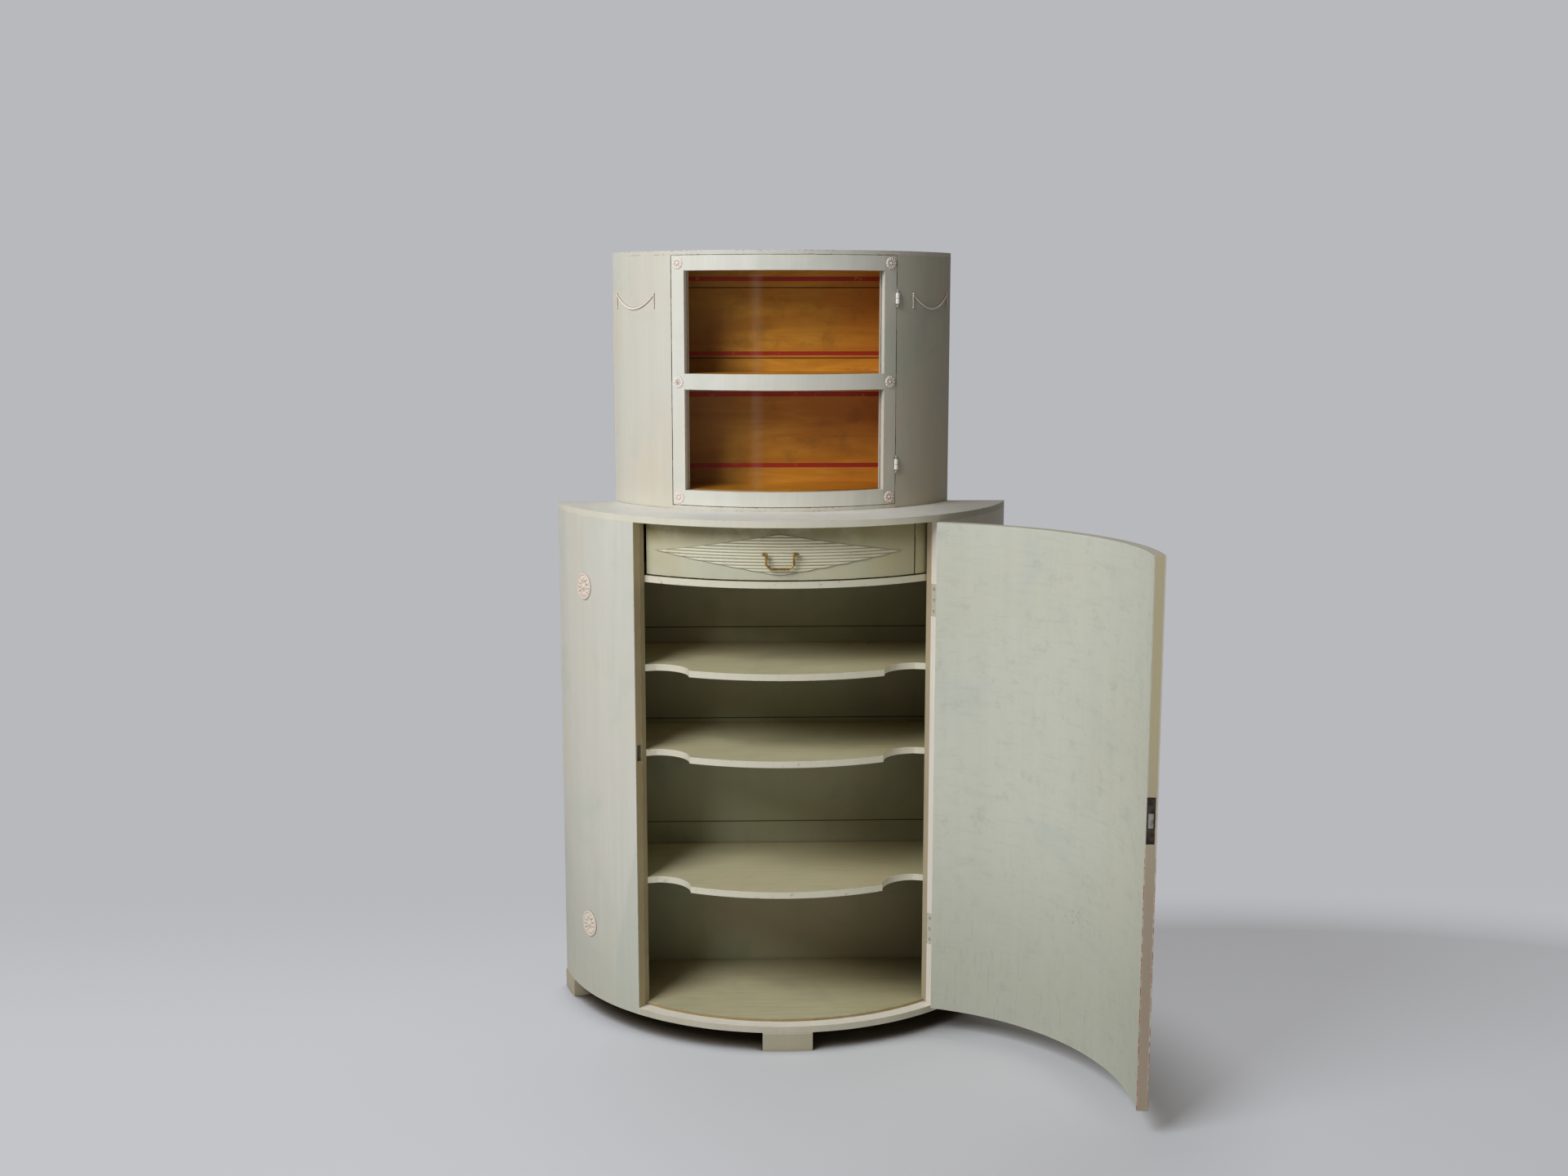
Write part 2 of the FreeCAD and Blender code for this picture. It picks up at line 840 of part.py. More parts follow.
def leaf_screws(hinge, label, side, low):
    """Three countersunk screws through one leaf into the wood."""
    middle = (hinge.tier.radius - hinge.leaf_width + hinge.axis - hinge.knuckle_radius) / 2
    rotation = FreeCAD.Rotation(FreeCAD.Vector(1, 0, 0), -QUARTER_TURN * side)
    start = side * hinge.half_gap
    spacing = (hinge.height - 2 * size.screw_margin) / (SCREWS_PER_LEAF - 1)
    screws = []
    for index in range(SCREWS_PER_LEAF):
        up = low + size.screw_margin + spacing * index
        name = f"{label}_screw_{index}"
        head = make(
            "Part::Cone", name + "_head", Radius1=size.screw_head_radius,
            Radius2=size.screw_shank_radius, Height=size.screw_head_depth,
        )
        shank = make(
            "Part::Cylinder", name + "_shank", Radius=size.screw_shank_radius,
            Height=size.screw_length,
        )
        place(head, middle, start, up, rotation=rotation)
        place(shank, middle, start, up, rotation=rotation)
        screws.append(fuse(name, head, shank))
    return screws


def hinge_recess(hinge, label, side, low):
    """The wood cut away for a leaf and for the knuckles."""
    faces = leaf_faces(hinge, side)
    beyond = (0, faces[1]) if side > 0 else (faces[0], 0)
    start = hinge.tier.radius - hinge.leaf_width
    recess = box(
        label + "_recess", (start, hinge.axis), beyond, (low, low + hinge.height)
    )
    relief = post_cylinder(
        label + "_relief", hinge.knuckle_radius + size.relief_gap, hinge.axis, 0,
        low - size.relief_gap, low + hinge.height + size.relief_gap,
    )
    return [recess, relief]


lower_hinge = Hinge(
    "lower_hinge", lower, size.hinge_axis_proud, lower_half_gap, lower_gap_angle,
    size.hinge_leaf_width, size.hinge_leaf_thickness, size.hinge_knuckle_radius,
    size.hinge_pin_radius, size.hinge_height, (size.hinge_low, size.hinge_high),
)
vitrine_hinge = Hinge(
    "vitrine_hinge", vitrine, size.barrel_axis_proud, vitrine_half_gap, vitrine_gap_angle,
    size.barrel_leaf_width, size.barrel_leaf_thickness, size.barrel_radius,
    size.barrel_pin_radius, size.barrel_height, (size.barrel_low, size.barrel_high),
)


# Locks, drawn on the middle line of a tier with X outward and Y into the door

class Lock:
    def __init__(self, name, tier, half_gap, gap_angle, setback, width, case_bottom,
                 case_height, case_depth, plate, bolt_bottom, bolt_height, bolt_width,
                 bolt_length, strike_depth):
        self.name = name
        self.tier = tier
        self.half_gap = half_gap
        self.gap_angle = gap_angle
        self.outer = tier.radius - setback
        self.width = width
        self.middle = self.outer - width / 2
        self.case_bottom = case_bottom
        self.case_height = case_height
        self.case_depth = case_depth
        self.plate = size_of(plate)
        self.bolt_bottom = bolt_bottom
        self.bolt_height = bolt_height
        self.bolt_width = bolt_width
        self.bolt_length = bolt_length
        self.strike_depth = strike_depth

    def carried(self, name, *pieces):
        return turned(name, self.tier, -self.gap_angle - 90, *pieces)

    def span(self, width):
        return (self.middle - width / 2, self.middle + width / 2)


def lock_case(lock):
    start = lock.half_gap + lock.plate
    outside = box(
        lock.name + "_case_box", lock.span(lock.width), (start, start + lock.case_depth),
        (lock.case_bottom, lock.case_bottom + lock.case_height),
    )
    gap = size.running_gap
    channel = box(
        lock.name + "_channel", lock.span(lock.bolt_width + 2 * gap),
        (0, lock.half_gap + lock.bolt_length + gap),
        (lock.bolt_bottom - gap, lock.bolt_bottom + lock.bolt_height + gap),
    )
    return outside, channel


def lock_bolt(lock):
    return box(
        lock.name + "_bolt_box", lock.span(lock.bolt_width),
        (lock.half_gap, lock.half_gap + lock.bolt_length),
        (lock.bolt_bottom, lock.bolt_bottom + lock.bolt_height),
    )


def strike_mortise(lock):
    """The hole in the fixed jamb that takes the thrown bolt."""
    margin = size.strike_margin
    return box(
        lock.name + "_strike", lock.span(lock.bolt_width + 2 * margin),
        (-(lock.half_gap + lock.strike_depth), 0),
        (lock.bolt_bottom - 2 * margin, lock.bolt_bottom + lock.bolt_height + margin),
    )


def keyhole(lock, radius, inset, up):
    """A round hole from the outer face to the lock."""
    piece = make("Part::Cylinder", lock.name + "_keyhole", Radius=radius, Height=2 * lock.width)
    return place(piece, lock.middle, inset, up, rotation=FACING_RIGHT)


lower_lock = Lock(
    "lower_lock", lower, lower_half_gap, lower_gap_angle,
    size.lock_outer_setback + (size.lock_width - size.lock_case_width) / 2,
    size.lock_case_width,
    size.lock_bottom + (size.lock_height - size.lock_case_height) / 2,
    size.lock_case_height, size.lock_case_depth, size.lock_plate_thickness,
    size.bolt_bottom, size.bolt_height, size.bolt_width, size.bolt_length,
    size.bolt_throw + size.strike_end_gap,
)
vitrine_lock = Lock(
    "vitrine_lock", vitrine, vitrine_half_gap, vitrine_gap_angle,
    size.vitrine_lock_setback, size.vitrine_lock_width,
    size.vitrine_lock_middle - size.vitrine_lock_height / 2,
    size.vitrine_lock_height, size.vitrine_lock_depth, 0,
    size.vitrine_lock_middle + size.vitrine_bolt_height / 2,
    size.vitrine_bolt_height, size.vitrine_bolt_width, size.vitrine_bolt_length,
    size.vitrine_bolt_throw + size.strike_end_gap,
)


# Sides and posts of the lower tier

def make_lower_sides():
    blank = side_panel_blank(
        "side_blank", lower, lower_radius, lower_inner, lower_back,
        size.opening_half_angle, carcass_top,
    )
    cuts = []
    screws = []
    leaves = []
    pins = []
    for index, low in enumerate(lower_hinge.lows):
        label = f"jamb_{index}"
        cuts += hinge_recess(lower_hinge, label, 1, low)
        leaf = hinge_leaf(lower_hinge, label, 1, low, (0, 2), 3)
        own_screws = leaf_screws(lower_hinge, label, 1, low)
        screws += own_screws
        leaves.append(cut(label + "_drilled", leaf, *own_screws))
        pins.append(
            post_cylinder(
                label + "_pin", size.hinge_pin_radius, lower_hinge.axis, 0,
                low, low + size.hinge_height,
            )
        )
    removed = lower_hinge.carried("right_jamb_cuts", *cuts, *screws)
    right = cut("right_side_body", blank, removed)
    left_blank = mirrored("left_side_blank", blank)
    strike = lower_lock.carried("left_jamb_cuts", strike_mortise(lower_lock))
    left = cut("left_side_body", left_blank, strike)
    sub_part("left_side_panel", left)
    sub_part("right_side_panel", right)
    sub_part("jamb_hinge_leaves", lower_hinge.carried("jamb_leaves", *leaves))
    sub_part("jamb_hinge_screws", lower_hinge.carried("jamb_screws", *screws))
    sub_part("door_hinge_pins", lower_hinge.carried("hinge_pins", *pins))
    posts = []
    for side, first, last in (
        ("left", -post_back_angle, -size.opening_half_angle),
        ("right", size.opening_half_angle, post_back_angle),
    ):
        posts.append(
            ring(
                side + "_post", lower, post_inner, lower_inner,
                size.board_thickness, carcass_top, first, last,
            )
        )
    sub_part("jamb_posts", group("posts", *posts))
    tops = [
        size.bottom_shelf_height - size.shelf_thickness,
        size.middle_shelf_height - size.shelf_thickness,
        size.top_shelf_height - size.shelf_thickness,
        divider_top - size.shelf_thickness,
    ]
    sub_part(
        "shelf_cleats",
        shelf_cleats(
            "cleat", lower, lower_inner, size.cleat_thickness, lower_back_inner,
            post_back_angle, tops,
        ),
    )


# Lower door with its leaves, screws and lock

def make_lower_door():
    panel = ring(
        "door_blank", lower, lower_radius - size.door_thickness, lower_radius,
        size.board_thickness + size.door_bottom_gap, carcass_top - size.door_top_gap,
        -door_half_angle, door_half_angle,
    )
    cuts = []
    screws = []
    leaves = []
    for index, low in enumerate(lower_hinge.lows):
        label = f"door_{index}"
        cuts += hinge_recess(lower_hinge, label, -1, low)
        leaf = hinge_leaf(lower_hinge, label, -1, low, (1,), 3)
        own_screws = leaf_screws(lower_hinge, label, -1, low)
        screws += own_screws
        leaves.append(cut(label + "_drilled", leaf, *own_screws))
    lock = lower_lock
    case_box, channel = lock_case(lock)
    plate_span = (
        lower_radius - size.lock_outer_setback - size.lock_width,
        lower_radius - size.lock_outer_setback,
    )
    plate_faces = (lock.half_gap, lock.half_gap + size.lock_plate_thickness)
    plate = box(
        "lock_plate_box", plate_span, plate_faces,
        (size.lock_bottom, size.lock_bottom + size.lock_height),
    )
    plate_recess = box(
        "lock_plate_recess", plate_span, (0, plate_faces[1]),
        (size.lock_bottom, size.lock_bottom + size.lock_height),
    )
    lock_screws = []
    end_margin = (size.lock_height - size.lock_case_height) / 4
    for index, up in enumerate(
        (size.lock_bottom + end_margin, size.lock_bottom + size.lock_height - end_margin)
    ):
        head = make(
            "Part::Cone", f"lock_screw_head_{index}", Radius1=size.screw_head_radius,
            Radius2=size.screw_shank_radius, Height=size.screw_head_depth,
        )
        shank = make(
            "Part::Cylinder", f"lock_screw_shank_{index}", Radius=size.screw_shank_radius,
            Height=size.screw_length,
        )
        inward = FreeCAD.Rotation(FreeCAD.Vector(1, 0, 0), -QUARTER_TURN)
        for item in (head, shank):
            place(item, lock.middle, lock.half_gap, up, rotation=inward)
        lock_screws.append(fuse(f"lock_screw_{index}", head, shank))
    key_up = size.bolt_bottom - size.keyhole_drop
    key = keyhole(lock, size.keyhole_radius, size.keyhole_inset, key_up)
    hinge_cuts = lower_hinge.carried("door_hinge_cuts", *cuts, *screws)
    lock_cuts = lock.carried("door_lock_cuts", case_box, plate_recess, key, *lock_screws)
    swung("lower_door_panel", cut("door_panel_body", panel, hinge_cuts, lock_cuts))
    swung("door_hinge_leaves", lower_hinge.carried("door_leaves", *leaves))
    all_screws = group(
        "door_screw_group",
        lower_hinge.carried("door_hinge_screws", *screws),
        lock.carried("door_lock_screws", *lock_screws),
    )
    swung("door_screws", all_screws)
    case = cut("lock_case_body", case_box, channel, key)
    swung("door_lock_case", lock.carried("lock_case_closed", case))
    faceplate = cut("lock_faceplate_body", plate, channel, *lock_screws)
    swung("door_lock_faceplate", lock.carried("lock_faceplate_closed", faceplate))
    swung("door_lock_bolt", lock.carried("lock_bolt_closed", lock_bolt(lock)))


# Drawer

drawer_face = derive("drawer_face", lower_radius - size.drawer_setback)
drawer_back = derive("drawer_back", drawer_face - size.drawer_front_thickness)
filler_left = derive(
    "filler_left", drawer_face * sine(post_back_angle) - size.filler_width
)
drawer_left = derive(
    "drawer_left", size.drawer_left_gap - drawer_face * sine(size.opening_half_angle)
)
drawer_right = derive("drawer_right", filler_left - size.drawer_side_gap)
lozenge_left = derive("lozenge_left", drawer_left + size.lozenge_left_margin)
lozenge_right = derive("lozenge_right", drawer_right - size.lozenge_right_margin)


def bowed_board(name, left, right, outer, inner, bottom, top):
    """A board with a bowed front and back and square ends."""
    corners = [
        Corner(left, -chord_depth(outer, left), outer),
        Corner(right, -chord_depth(outer, right)),
        Corner(right, -chord_depth(inner, right), inner, hollow=True),
        Corner(left, -chord_depth(inner, left)),
    ]
    return board(name, lower, corners, bottom, top - bottom)


def make_drawer():
    left = drawer_left
    right = drawer_right
    bottom = divider_top + size.drawer_bottom_gap
    top = carcass_top - size.drawer_top_gap
    front = bowed_board("drawer_front_blank", left, right, drawer_face, drawer_back, bottom, top)
    handle_holes = [lug_hole(side) for side in (-1, 1)]
    sub_part("drawer_front", cut("drawer_front_body", front, *handle_holes))

    box_bottom = divider_top + size.running_gap
    box_top = carcass_top - size.drawer_side_top_gap
    rear = lower_back_inner - size.drawer_back_space
    thickness = size.drawer_side_thickness
    behind_front = plan_cylinder("behind_drawer_front", lower, drawer_back, box_bottom, box_top)
    sides = []
    for side, edges in (("left", (left, left + thickness)), ("right", (right - thickness, right))):
        plank = plan_box(
            f"drawer_{side}_plank", lower, edges, (-drawer_back, rear), (box_bottom, box_top)
        )
        sides.append(common(f"drawer_{side}_side", plank, behind_front))
    sub_part("drawer_sides", group("drawer_side_pair", *sides))
    inside = (left + thickness, right - thickness)
    floor_bottom = box_bottom + size.drawer_floor_rise
    floor_top_level = floor_bottom + size.drawer_floor_thickness
    floor = plan_box(
        "drawer_floor_plank", lower, inside, (-drawer_back, rear),
        (floor_bottom, floor_top_level),
    )
    sub_part("drawer_bottom", common("drawer_floor", floor, behind_front))
    sub_part(
        "drawer_back",
        plan_box(
            "drawer_back_plank", lower, inside, (rear - thickness, rear),
            (floor_top_level, box_top - size.drawer_back_drop),
        ),
    )


def make_drawer_carcass():
    """The filler beside the drawer and the guides that keep it straight."""
    corners = [
        Corner(filler_left, -chord_depth(drawer_face, filler_left), drawer_face),
        polar(drawer_face, post_back_angle),
        polar(drawer_back, post_back_angle, bend=drawer_back, hollow=True),
        Corner(filler_left, -chord_depth(drawer_back, filler_left)),
    ]
    sub_part(
        "drawer_filler_stile",
        board("filler", lower, corners, divider_top, carcass_top - divider_top),
    )
    guides = []
    front_limit = -(drawer_back * cosine(post_back_angle)) + size.guide_front_gap
    for side, edge in ((-1, drawer_left), (1, drawer_right)):
        near = edge + side * size.guide_gap
        far = near + side * size.guide_width
        edges = (near, far) if side > 0 else (far, near)
        guides.append(
            plan_box(
                f"guide_{side + 1}", lower, edges, (front_limit, lower_back_inner),
                (divider_top, divider_top + size.guide_height),
            )
        )
    sub_part("drawer_guides", group("guide_pair", *guides))


def make_lozenge():
    """Horizontal reeds on the drawer front, trimmed to a long diamond."""
    count = int(size.reed_count.value)
    half_height = size.reed_pitch * size.reed_count / 2
    lozenge_middle = divider_top + size.lozenge_above_divider
    bottom = lozenge_middle - half_height
    valley = drawer_face + size.reed_base
    corners = [Corner(drawer_face, bottom)]
    for index in range(count):
        corners.append(Corner(valley, bottom + size.reed_pitch * index, size.reed_radius))
    corners.append(Corner(valley, bottom + 2 * half_height))
    corners.append(Corner(drawer_face, bottom + 2 * half_height))
    opening = size.opening_half_angle
    reeds = turned_body("reeds", lower, corners, -opening, opening)

    diamond = document.addObject("PartDesign::Body", "diamond")
    middle = (lozenge_left + lozenge_right) / 2
    outline = [
        Corner(lozenge_right, lozenge_middle),
        Corner(middle, lozenge_middle + half_height),
        Corner(lozenge_left, lozenge_middle),
        Corner(middle, lozenge_middle - half_height),
    ]
    pad = diamond.newObject("PartDesign::Pad", "diamond_pad")
    pad.Profile = draw_outline(diamond, "XZ_Plane", outline)
    start = drawer_face * cosine(opening)
    pad.setExpression("Length", (lower_radius - start).text)
    place(diamond, 0, lower_centre - start, lower.bottom)
    trimmed = common("lozenge_trimmed", reeds, diamond)
    holes = [lug_hole(side, "lozenge") for side in (-1, 1)]
    sub_part("drawer_lozenge", cut("lozenge_body", trimmed, *holes))


handle_middle = derive(
    "handle_middle", (lozenge_left + lozenge_right) / 2 + size.handle_offset
)
handle_along = derive(
    "handle_along", lower_centre - (lower_radius - size.handle_setback)
)
handle_up = derive("handle_up", size.foot_height + divider_top + size.handle_above_divider)


def handle_rod(name, radius, across, along, rotation, length):
    piece = make("Part::Cylinder", name, Radius=radius, Height=length)
    return place(piece, across, along, handle_up, rotation=rotation)


def lug_across(side):
    return handle_middle + side * size.lug_offset


def shank_end():
    """Where the handle's shanks end, behind the drawer front."""
    return lower_centre - drawer_back + size.nut_thickness + size.lug_shank_tail


def lug_hole(side, name="front"):
    along = shank_end()
    return handle_rod(
        f"{name}_hole_{side + 1}", size.lug_shank_radius + size.lug_hole_gap,
        lug_across(side), along, FACING_FRONT, along - handle_along,
    )


def make_handle():
    """Two lugs bolted through the drawer front, and the bail that hangs from them."""
    lugs = []
    nuts = []
    for side in (-1, 1):
        name = f"lug_{side + 1}"
        across = lug_across(side)
        along = shank_end()
        half = size.lug_thickness / 2
        shank = handle_rod(
            name + "_shank", size.lug_shank_radius, across, along, FACING_FRONT,
            along - handle_along,
        )
        disc = handle_rod(
            name + "_disc", size.lug_radius, across - half, handle_along, FACING_RIGHT,
            size.lug_thickness,
        )
        eye = handle_rod(
            name + "_eye", size.bail_pin_radius + size.pin_clearance, across - 2 * half,
            handle_along, FACING_RIGHT, 2 * size.lug_thickness,
        )
        lugs.append(cut(name, fuse(name + "_solid", shank, disc), eye))
        nut = make(
            "Part::Prism", name + "_nut", Circumradius=size.nut_radius,
            Height=size.nut_thickness,
        )
        nut.Polygon = NUT_SIDES
        nut_edge = across + size.nut_radius * side
        inner_face = lower_centre - chord_depth(drawer_back, nut_edge)
        place(
            nut, across, inner_face + size.nut_thickness + size.nut_gap, handle_up,
            rotation=FACING_FRONT,
        )
        nuts.append(cut(name + "_nut_body", nut, shank))
    sub_part("drawer_handle_lugs", group("lug_pair", *lugs, *nuts))

    half = size.bail_half_width
    drop = size.bail_drop
    chamfer = size.bail_chamfer
    centre = handle_middle
    points = [
        (centre - half, handle_up),
        (centre - half, handle_up - drop + chamfer),
        (centre - half + chamfer, handle_up - drop),
        (centre + half - chamfer, handle_up - drop),
        (centre + half, handle_up - drop + chamfer),
        (centre + half, handle_up),
    ]
    pieces = [bail_rod(points)]
    for side in (-1, 1):
        across = centre + side * half
        pieces.append(
            sphere(f"bail_knob_{side + 1}", size.bail_knob_radius, across, handle_along, handle_up)
        )
        lug_outer = size.lug_offset + size.lug_thickness / 2 + size.lug_gap
        outward = FreeCAD.Rotation(FreeCAD.Vector(0, 1, 0), QUARTER_TURN * side)
        pieces.append(
            handle_rod(
                f"bail_pin_{side + 1}", size.bail_pin_radius, across, handle_along, outward,
                lug_outer - half + OVERSHOOT,
            )
        )
        finial = make(
            "Part::Cone", f"bail_finial_{side + 1}", Radius1=size.bail_finial_radius,
            Radius2=size.bail_finial_tip_radius, Height=size.bail_finial_length,
        )
        place(finial, centre + side * lug_outer, handle_along, handle_up, rotation=outward)
        pieces.append(finial)
    sub_part("drawer_bail", fuse("bail_body", *pieces))


def bail_rod(points):
    """The bent rod of the bail, swept along its path."""
    body = document.addObject("PartDesign::Body", "bail_rod")
    path = body.newObject("Sketcher::SketchObject", "bail_path")
    plane = next(item for item in body.Origin.OriginFeatures if item.Role == "XZ_Plane")
    path.AttachmentSupport = [(plane, "")]
    path.MapMode = "FlatFace"
    for index in range(len(points) - 1):
        start = FreeCAD.Vector(points[index][0].value, points[index][1].value, 0)
        end = FreeCAD.Vector(points[index + 1][0].value, points[index + 1][1].value, 0)
        edge = path.addGeometry(Part.LineSegment(start, end), False)
        if index > 0:
            path.addConstraint(Sketcher.Constraint("Coincident", edge - 1, 2, edge, 1))
    for index, point in enumerate(points):
        edge, end = (index, 1) if index < len(points) - 1 else (index - 1, 2)
        bind(path, Sketcher.Constraint("DistanceX", -1, 1, edge, end, point[0].value), point[0])
        bind(path, Sketcher.Constraint("DistanceY", -1, 1, edge, end, point[1].value), point[1])
    profile = body.newObject("Sketcher::SketchObject", "bail_section")
    ground = next(item for item in body.Origin.OriginFeatures if item.Role == "XY_Plane")
    profile.AttachmentSupport = [(ground, "")]
    profile.MapMode = "FlatFace"
    profile.setExpression("AttachmentOffset.Base.z", handle_up.text)
    centre = FreeCAD.Vector(points[0][0].value, 0, 0)
    normal = FreeCAD.Vector(0, 0, 1)
    profile.addGeometry(Part.Circle(centre, normal, size.bail_rod_radius.value), False)
    bind(profile, Sketcher.Constraint("Radius", 0, size.bail_rod_radius.value), size.bail_rod_radius)
    bind(profile, Sketcher.Constraint("DistanceX", -1, 1, 0, 3, points[0][0].value), points[0][0])
    profile.addConstraint(Sketcher.Constraint("PointOnObject", 0, 3, -1))
    pipe = body.newObject("PartDesign::AdditivePipe", "bail_pipe")
    pipe.Profile = profile
    pipe.Spine = (path, [f"Edge{index + 1}" for index in range(len(points) - 1)])
    pipe.Transition = "Round corner"
    return place(body, 0, handle_along, 0)


# Vitrine carcass

def make_vitrine_boards():
    sub_part(
        "vitrine_top_board",
        segment_board(
            "vitrine_top", vitrine, vitrine_radius, vitrine_back, vitrine_ceiling,
            size.vitrine_top_thickness,
        ),
    )
    opening = size.vitrine_opening_half_angle
    sub_part(
        "vitrine_base_board",
        nosed_board(
            "vitrine_base", vitrine, vitrine_inner, vitrine_radius, vitrine_back, opening, 0,
            size.vitrine_base_thickness,
        ),
    )
    half = back_half_width(vitrine_inner, vitrine_back_inner)
    front = vitrine_radius - size.vitrine_shelf_setback
    for label, top, thickness in (
        ("vitrine_floor_board", size.vitrine_floor_height, size.vitrine_floor_thickness),
        ("vitrine_shelf", size.vitrine_shelf_height, size.vitrine_floor_thickness),
    ):
        corners = [
            Corner(-half, vitrine_back_inner, vitrine_inner),
            polar(vitrine_inner, -opening),
            polar(front, -opening, bend=front),
            polar(front, opening),
            polar(vitrine_inner, opening, bend=vitrine_inner),
            Corner(half, vitrine_back_inner),
        ]
        sub_part(label, board(label + "_body", vitrine, corners, top - thickness, thickness))
    half_seam = size.back_seam_gap / 2
    edges = [
        size.vitrine_base_thickness - half_seam,
        size.vitrine_first_seam,
        size.vitrine_second_seam,
        vitrine_ceiling + half_seam,
    ]
    planks = []
    for index in range(len(edges) - 1):
        planks.append(
            plan_box(
                f"vitrine_back_{index + 1}", vitrine,
                (size.back_end_gap - half, half - size.back_end_gap),
                (vitrine_back_inner, vitrine_back),
                (edges[index] + half_seam, edges[index + 1] - half_seam),
            )
        )
    sub_part("vitrine_back_boards", group("vitrine_backs", *planks))
    floor_underside = size.vitrine_floor_height - size.vitrine_floor_thickness
    bearers = []
    for side in (-1, 1):
        middle = side * size.bearer_offset
        front_end = -chord_depth(front, size.bearer_offset + size.bearer_width)
        bearers.append(
            plan_box(
                f"bearer_{side + 1}", vitrine,
                (middle - size.bearer_width / 2, middle + size.bearer_width / 2),
                (front_end, vitrine_back_inner),
                (size.vitrine_base_thickness, floor_underside),
            )
        )
    sub_part("vitrine_floor_bearers", group("bearer_pair", *bearers))
    sub_part(
        "vitrine_shelf_cleats",
        shelf_cleats(
            "vitrine_cleat", vitrine, vitrine_inner, size.cleat_thickness, vitrine_back_inner,
            opening + OVERSHOOT, [size.vitrine_shelf_height - size.vitrine_floor_thickness],
        ),
    )


def make_vitrine_sides():
    blank = side_panel_blank(
        "vitrine_side_blank", vitrine, vitrine_radius, vitrine_inner, vitrine_back,
        size.vitrine_opening_half_angle, vitrine_ceiling,
    )
    cuts = []
    for index, low in enumerate(vitrine_hinge.lows):
        cuts += hinge_recess(vitrine_hinge, f"vitrine_jamb_{index}", 1, low)
    removed = vitrine_hinge.carried("vitrine_jamb_cuts", *cuts)
    sub_part("vitrine_right_panel", cut("vitrine_right_body", blank, removed))
    left_blank = mirrored("vitrine_left_blank", blank)
    strike = vitrine_lock.carried("vitrine_strike_cut", strike_mortise(vitrine_lock))
    sub_part("vitrine_left_panel", cut("vitrine_left_body", left_blank, strike))


def make_vitrine_hinges():
    """A lower barrel with its pin on the frame, and an upper barrel on the door."""
    hinge = vitrine_hinge
    frame_barrels = []
    door_barrels = []
    finial_radius = hinge.knuckle_radius / 2
    for index, low in enumerate(hinge.lows):
        frame = hinge_leaf(hinge, f"frame_barrel_{index}", 1, low, (0,), 2)
        door = hinge_leaf(hinge, f"door_barrel_{index}", -1, low, (1,), 2)
        top = low + hinge.height
        pin = post_cylinder(
            f"barrel_pin_{index}", hinge.pin_radius, hinge.axis, 0, low,
            top - size.barrel_pin_inset,
        )
        plug = post_cylinder(
            f"barrel_plug_{index}", hinge.pin_radius + size.pin_clearance, hinge.axis, 0,
            low, low + size.barrel_plug_height,
        )
        for part, base, direction, pieces in (
            (frame, low, -1, [pin, plug]),
            (door, top, 1, []),
        ):
            name = f"finial_{index}_{direction + 1}"
            stem_end = base + direction * (size.barrel_finial_length - finial_radius)
            low_end, high_end = (stem_end, base) if direction < 0 else (base, stem_end)
            stem = post_cylinder(
                name + "_stem", finial_radius, hinge.axis, 0,
                low_end, high_end,
            )
            tip = sphere(name + "_tip", finial_radius, hinge.axis, 0, stem_end)
            solid = fuse(name + "_barrel", part, stem, tip, *pieces)
            (frame_barrels if direction < 0 else door_barrels).append(solid)
    sub_part("vitrine_frame_barrels", hinge.carried("frame_barrels", *frame_barrels))
    sub_part("vitrine_door_barrels", hinge.carried("door_barrels", *door_barrels))


# Vitrine door

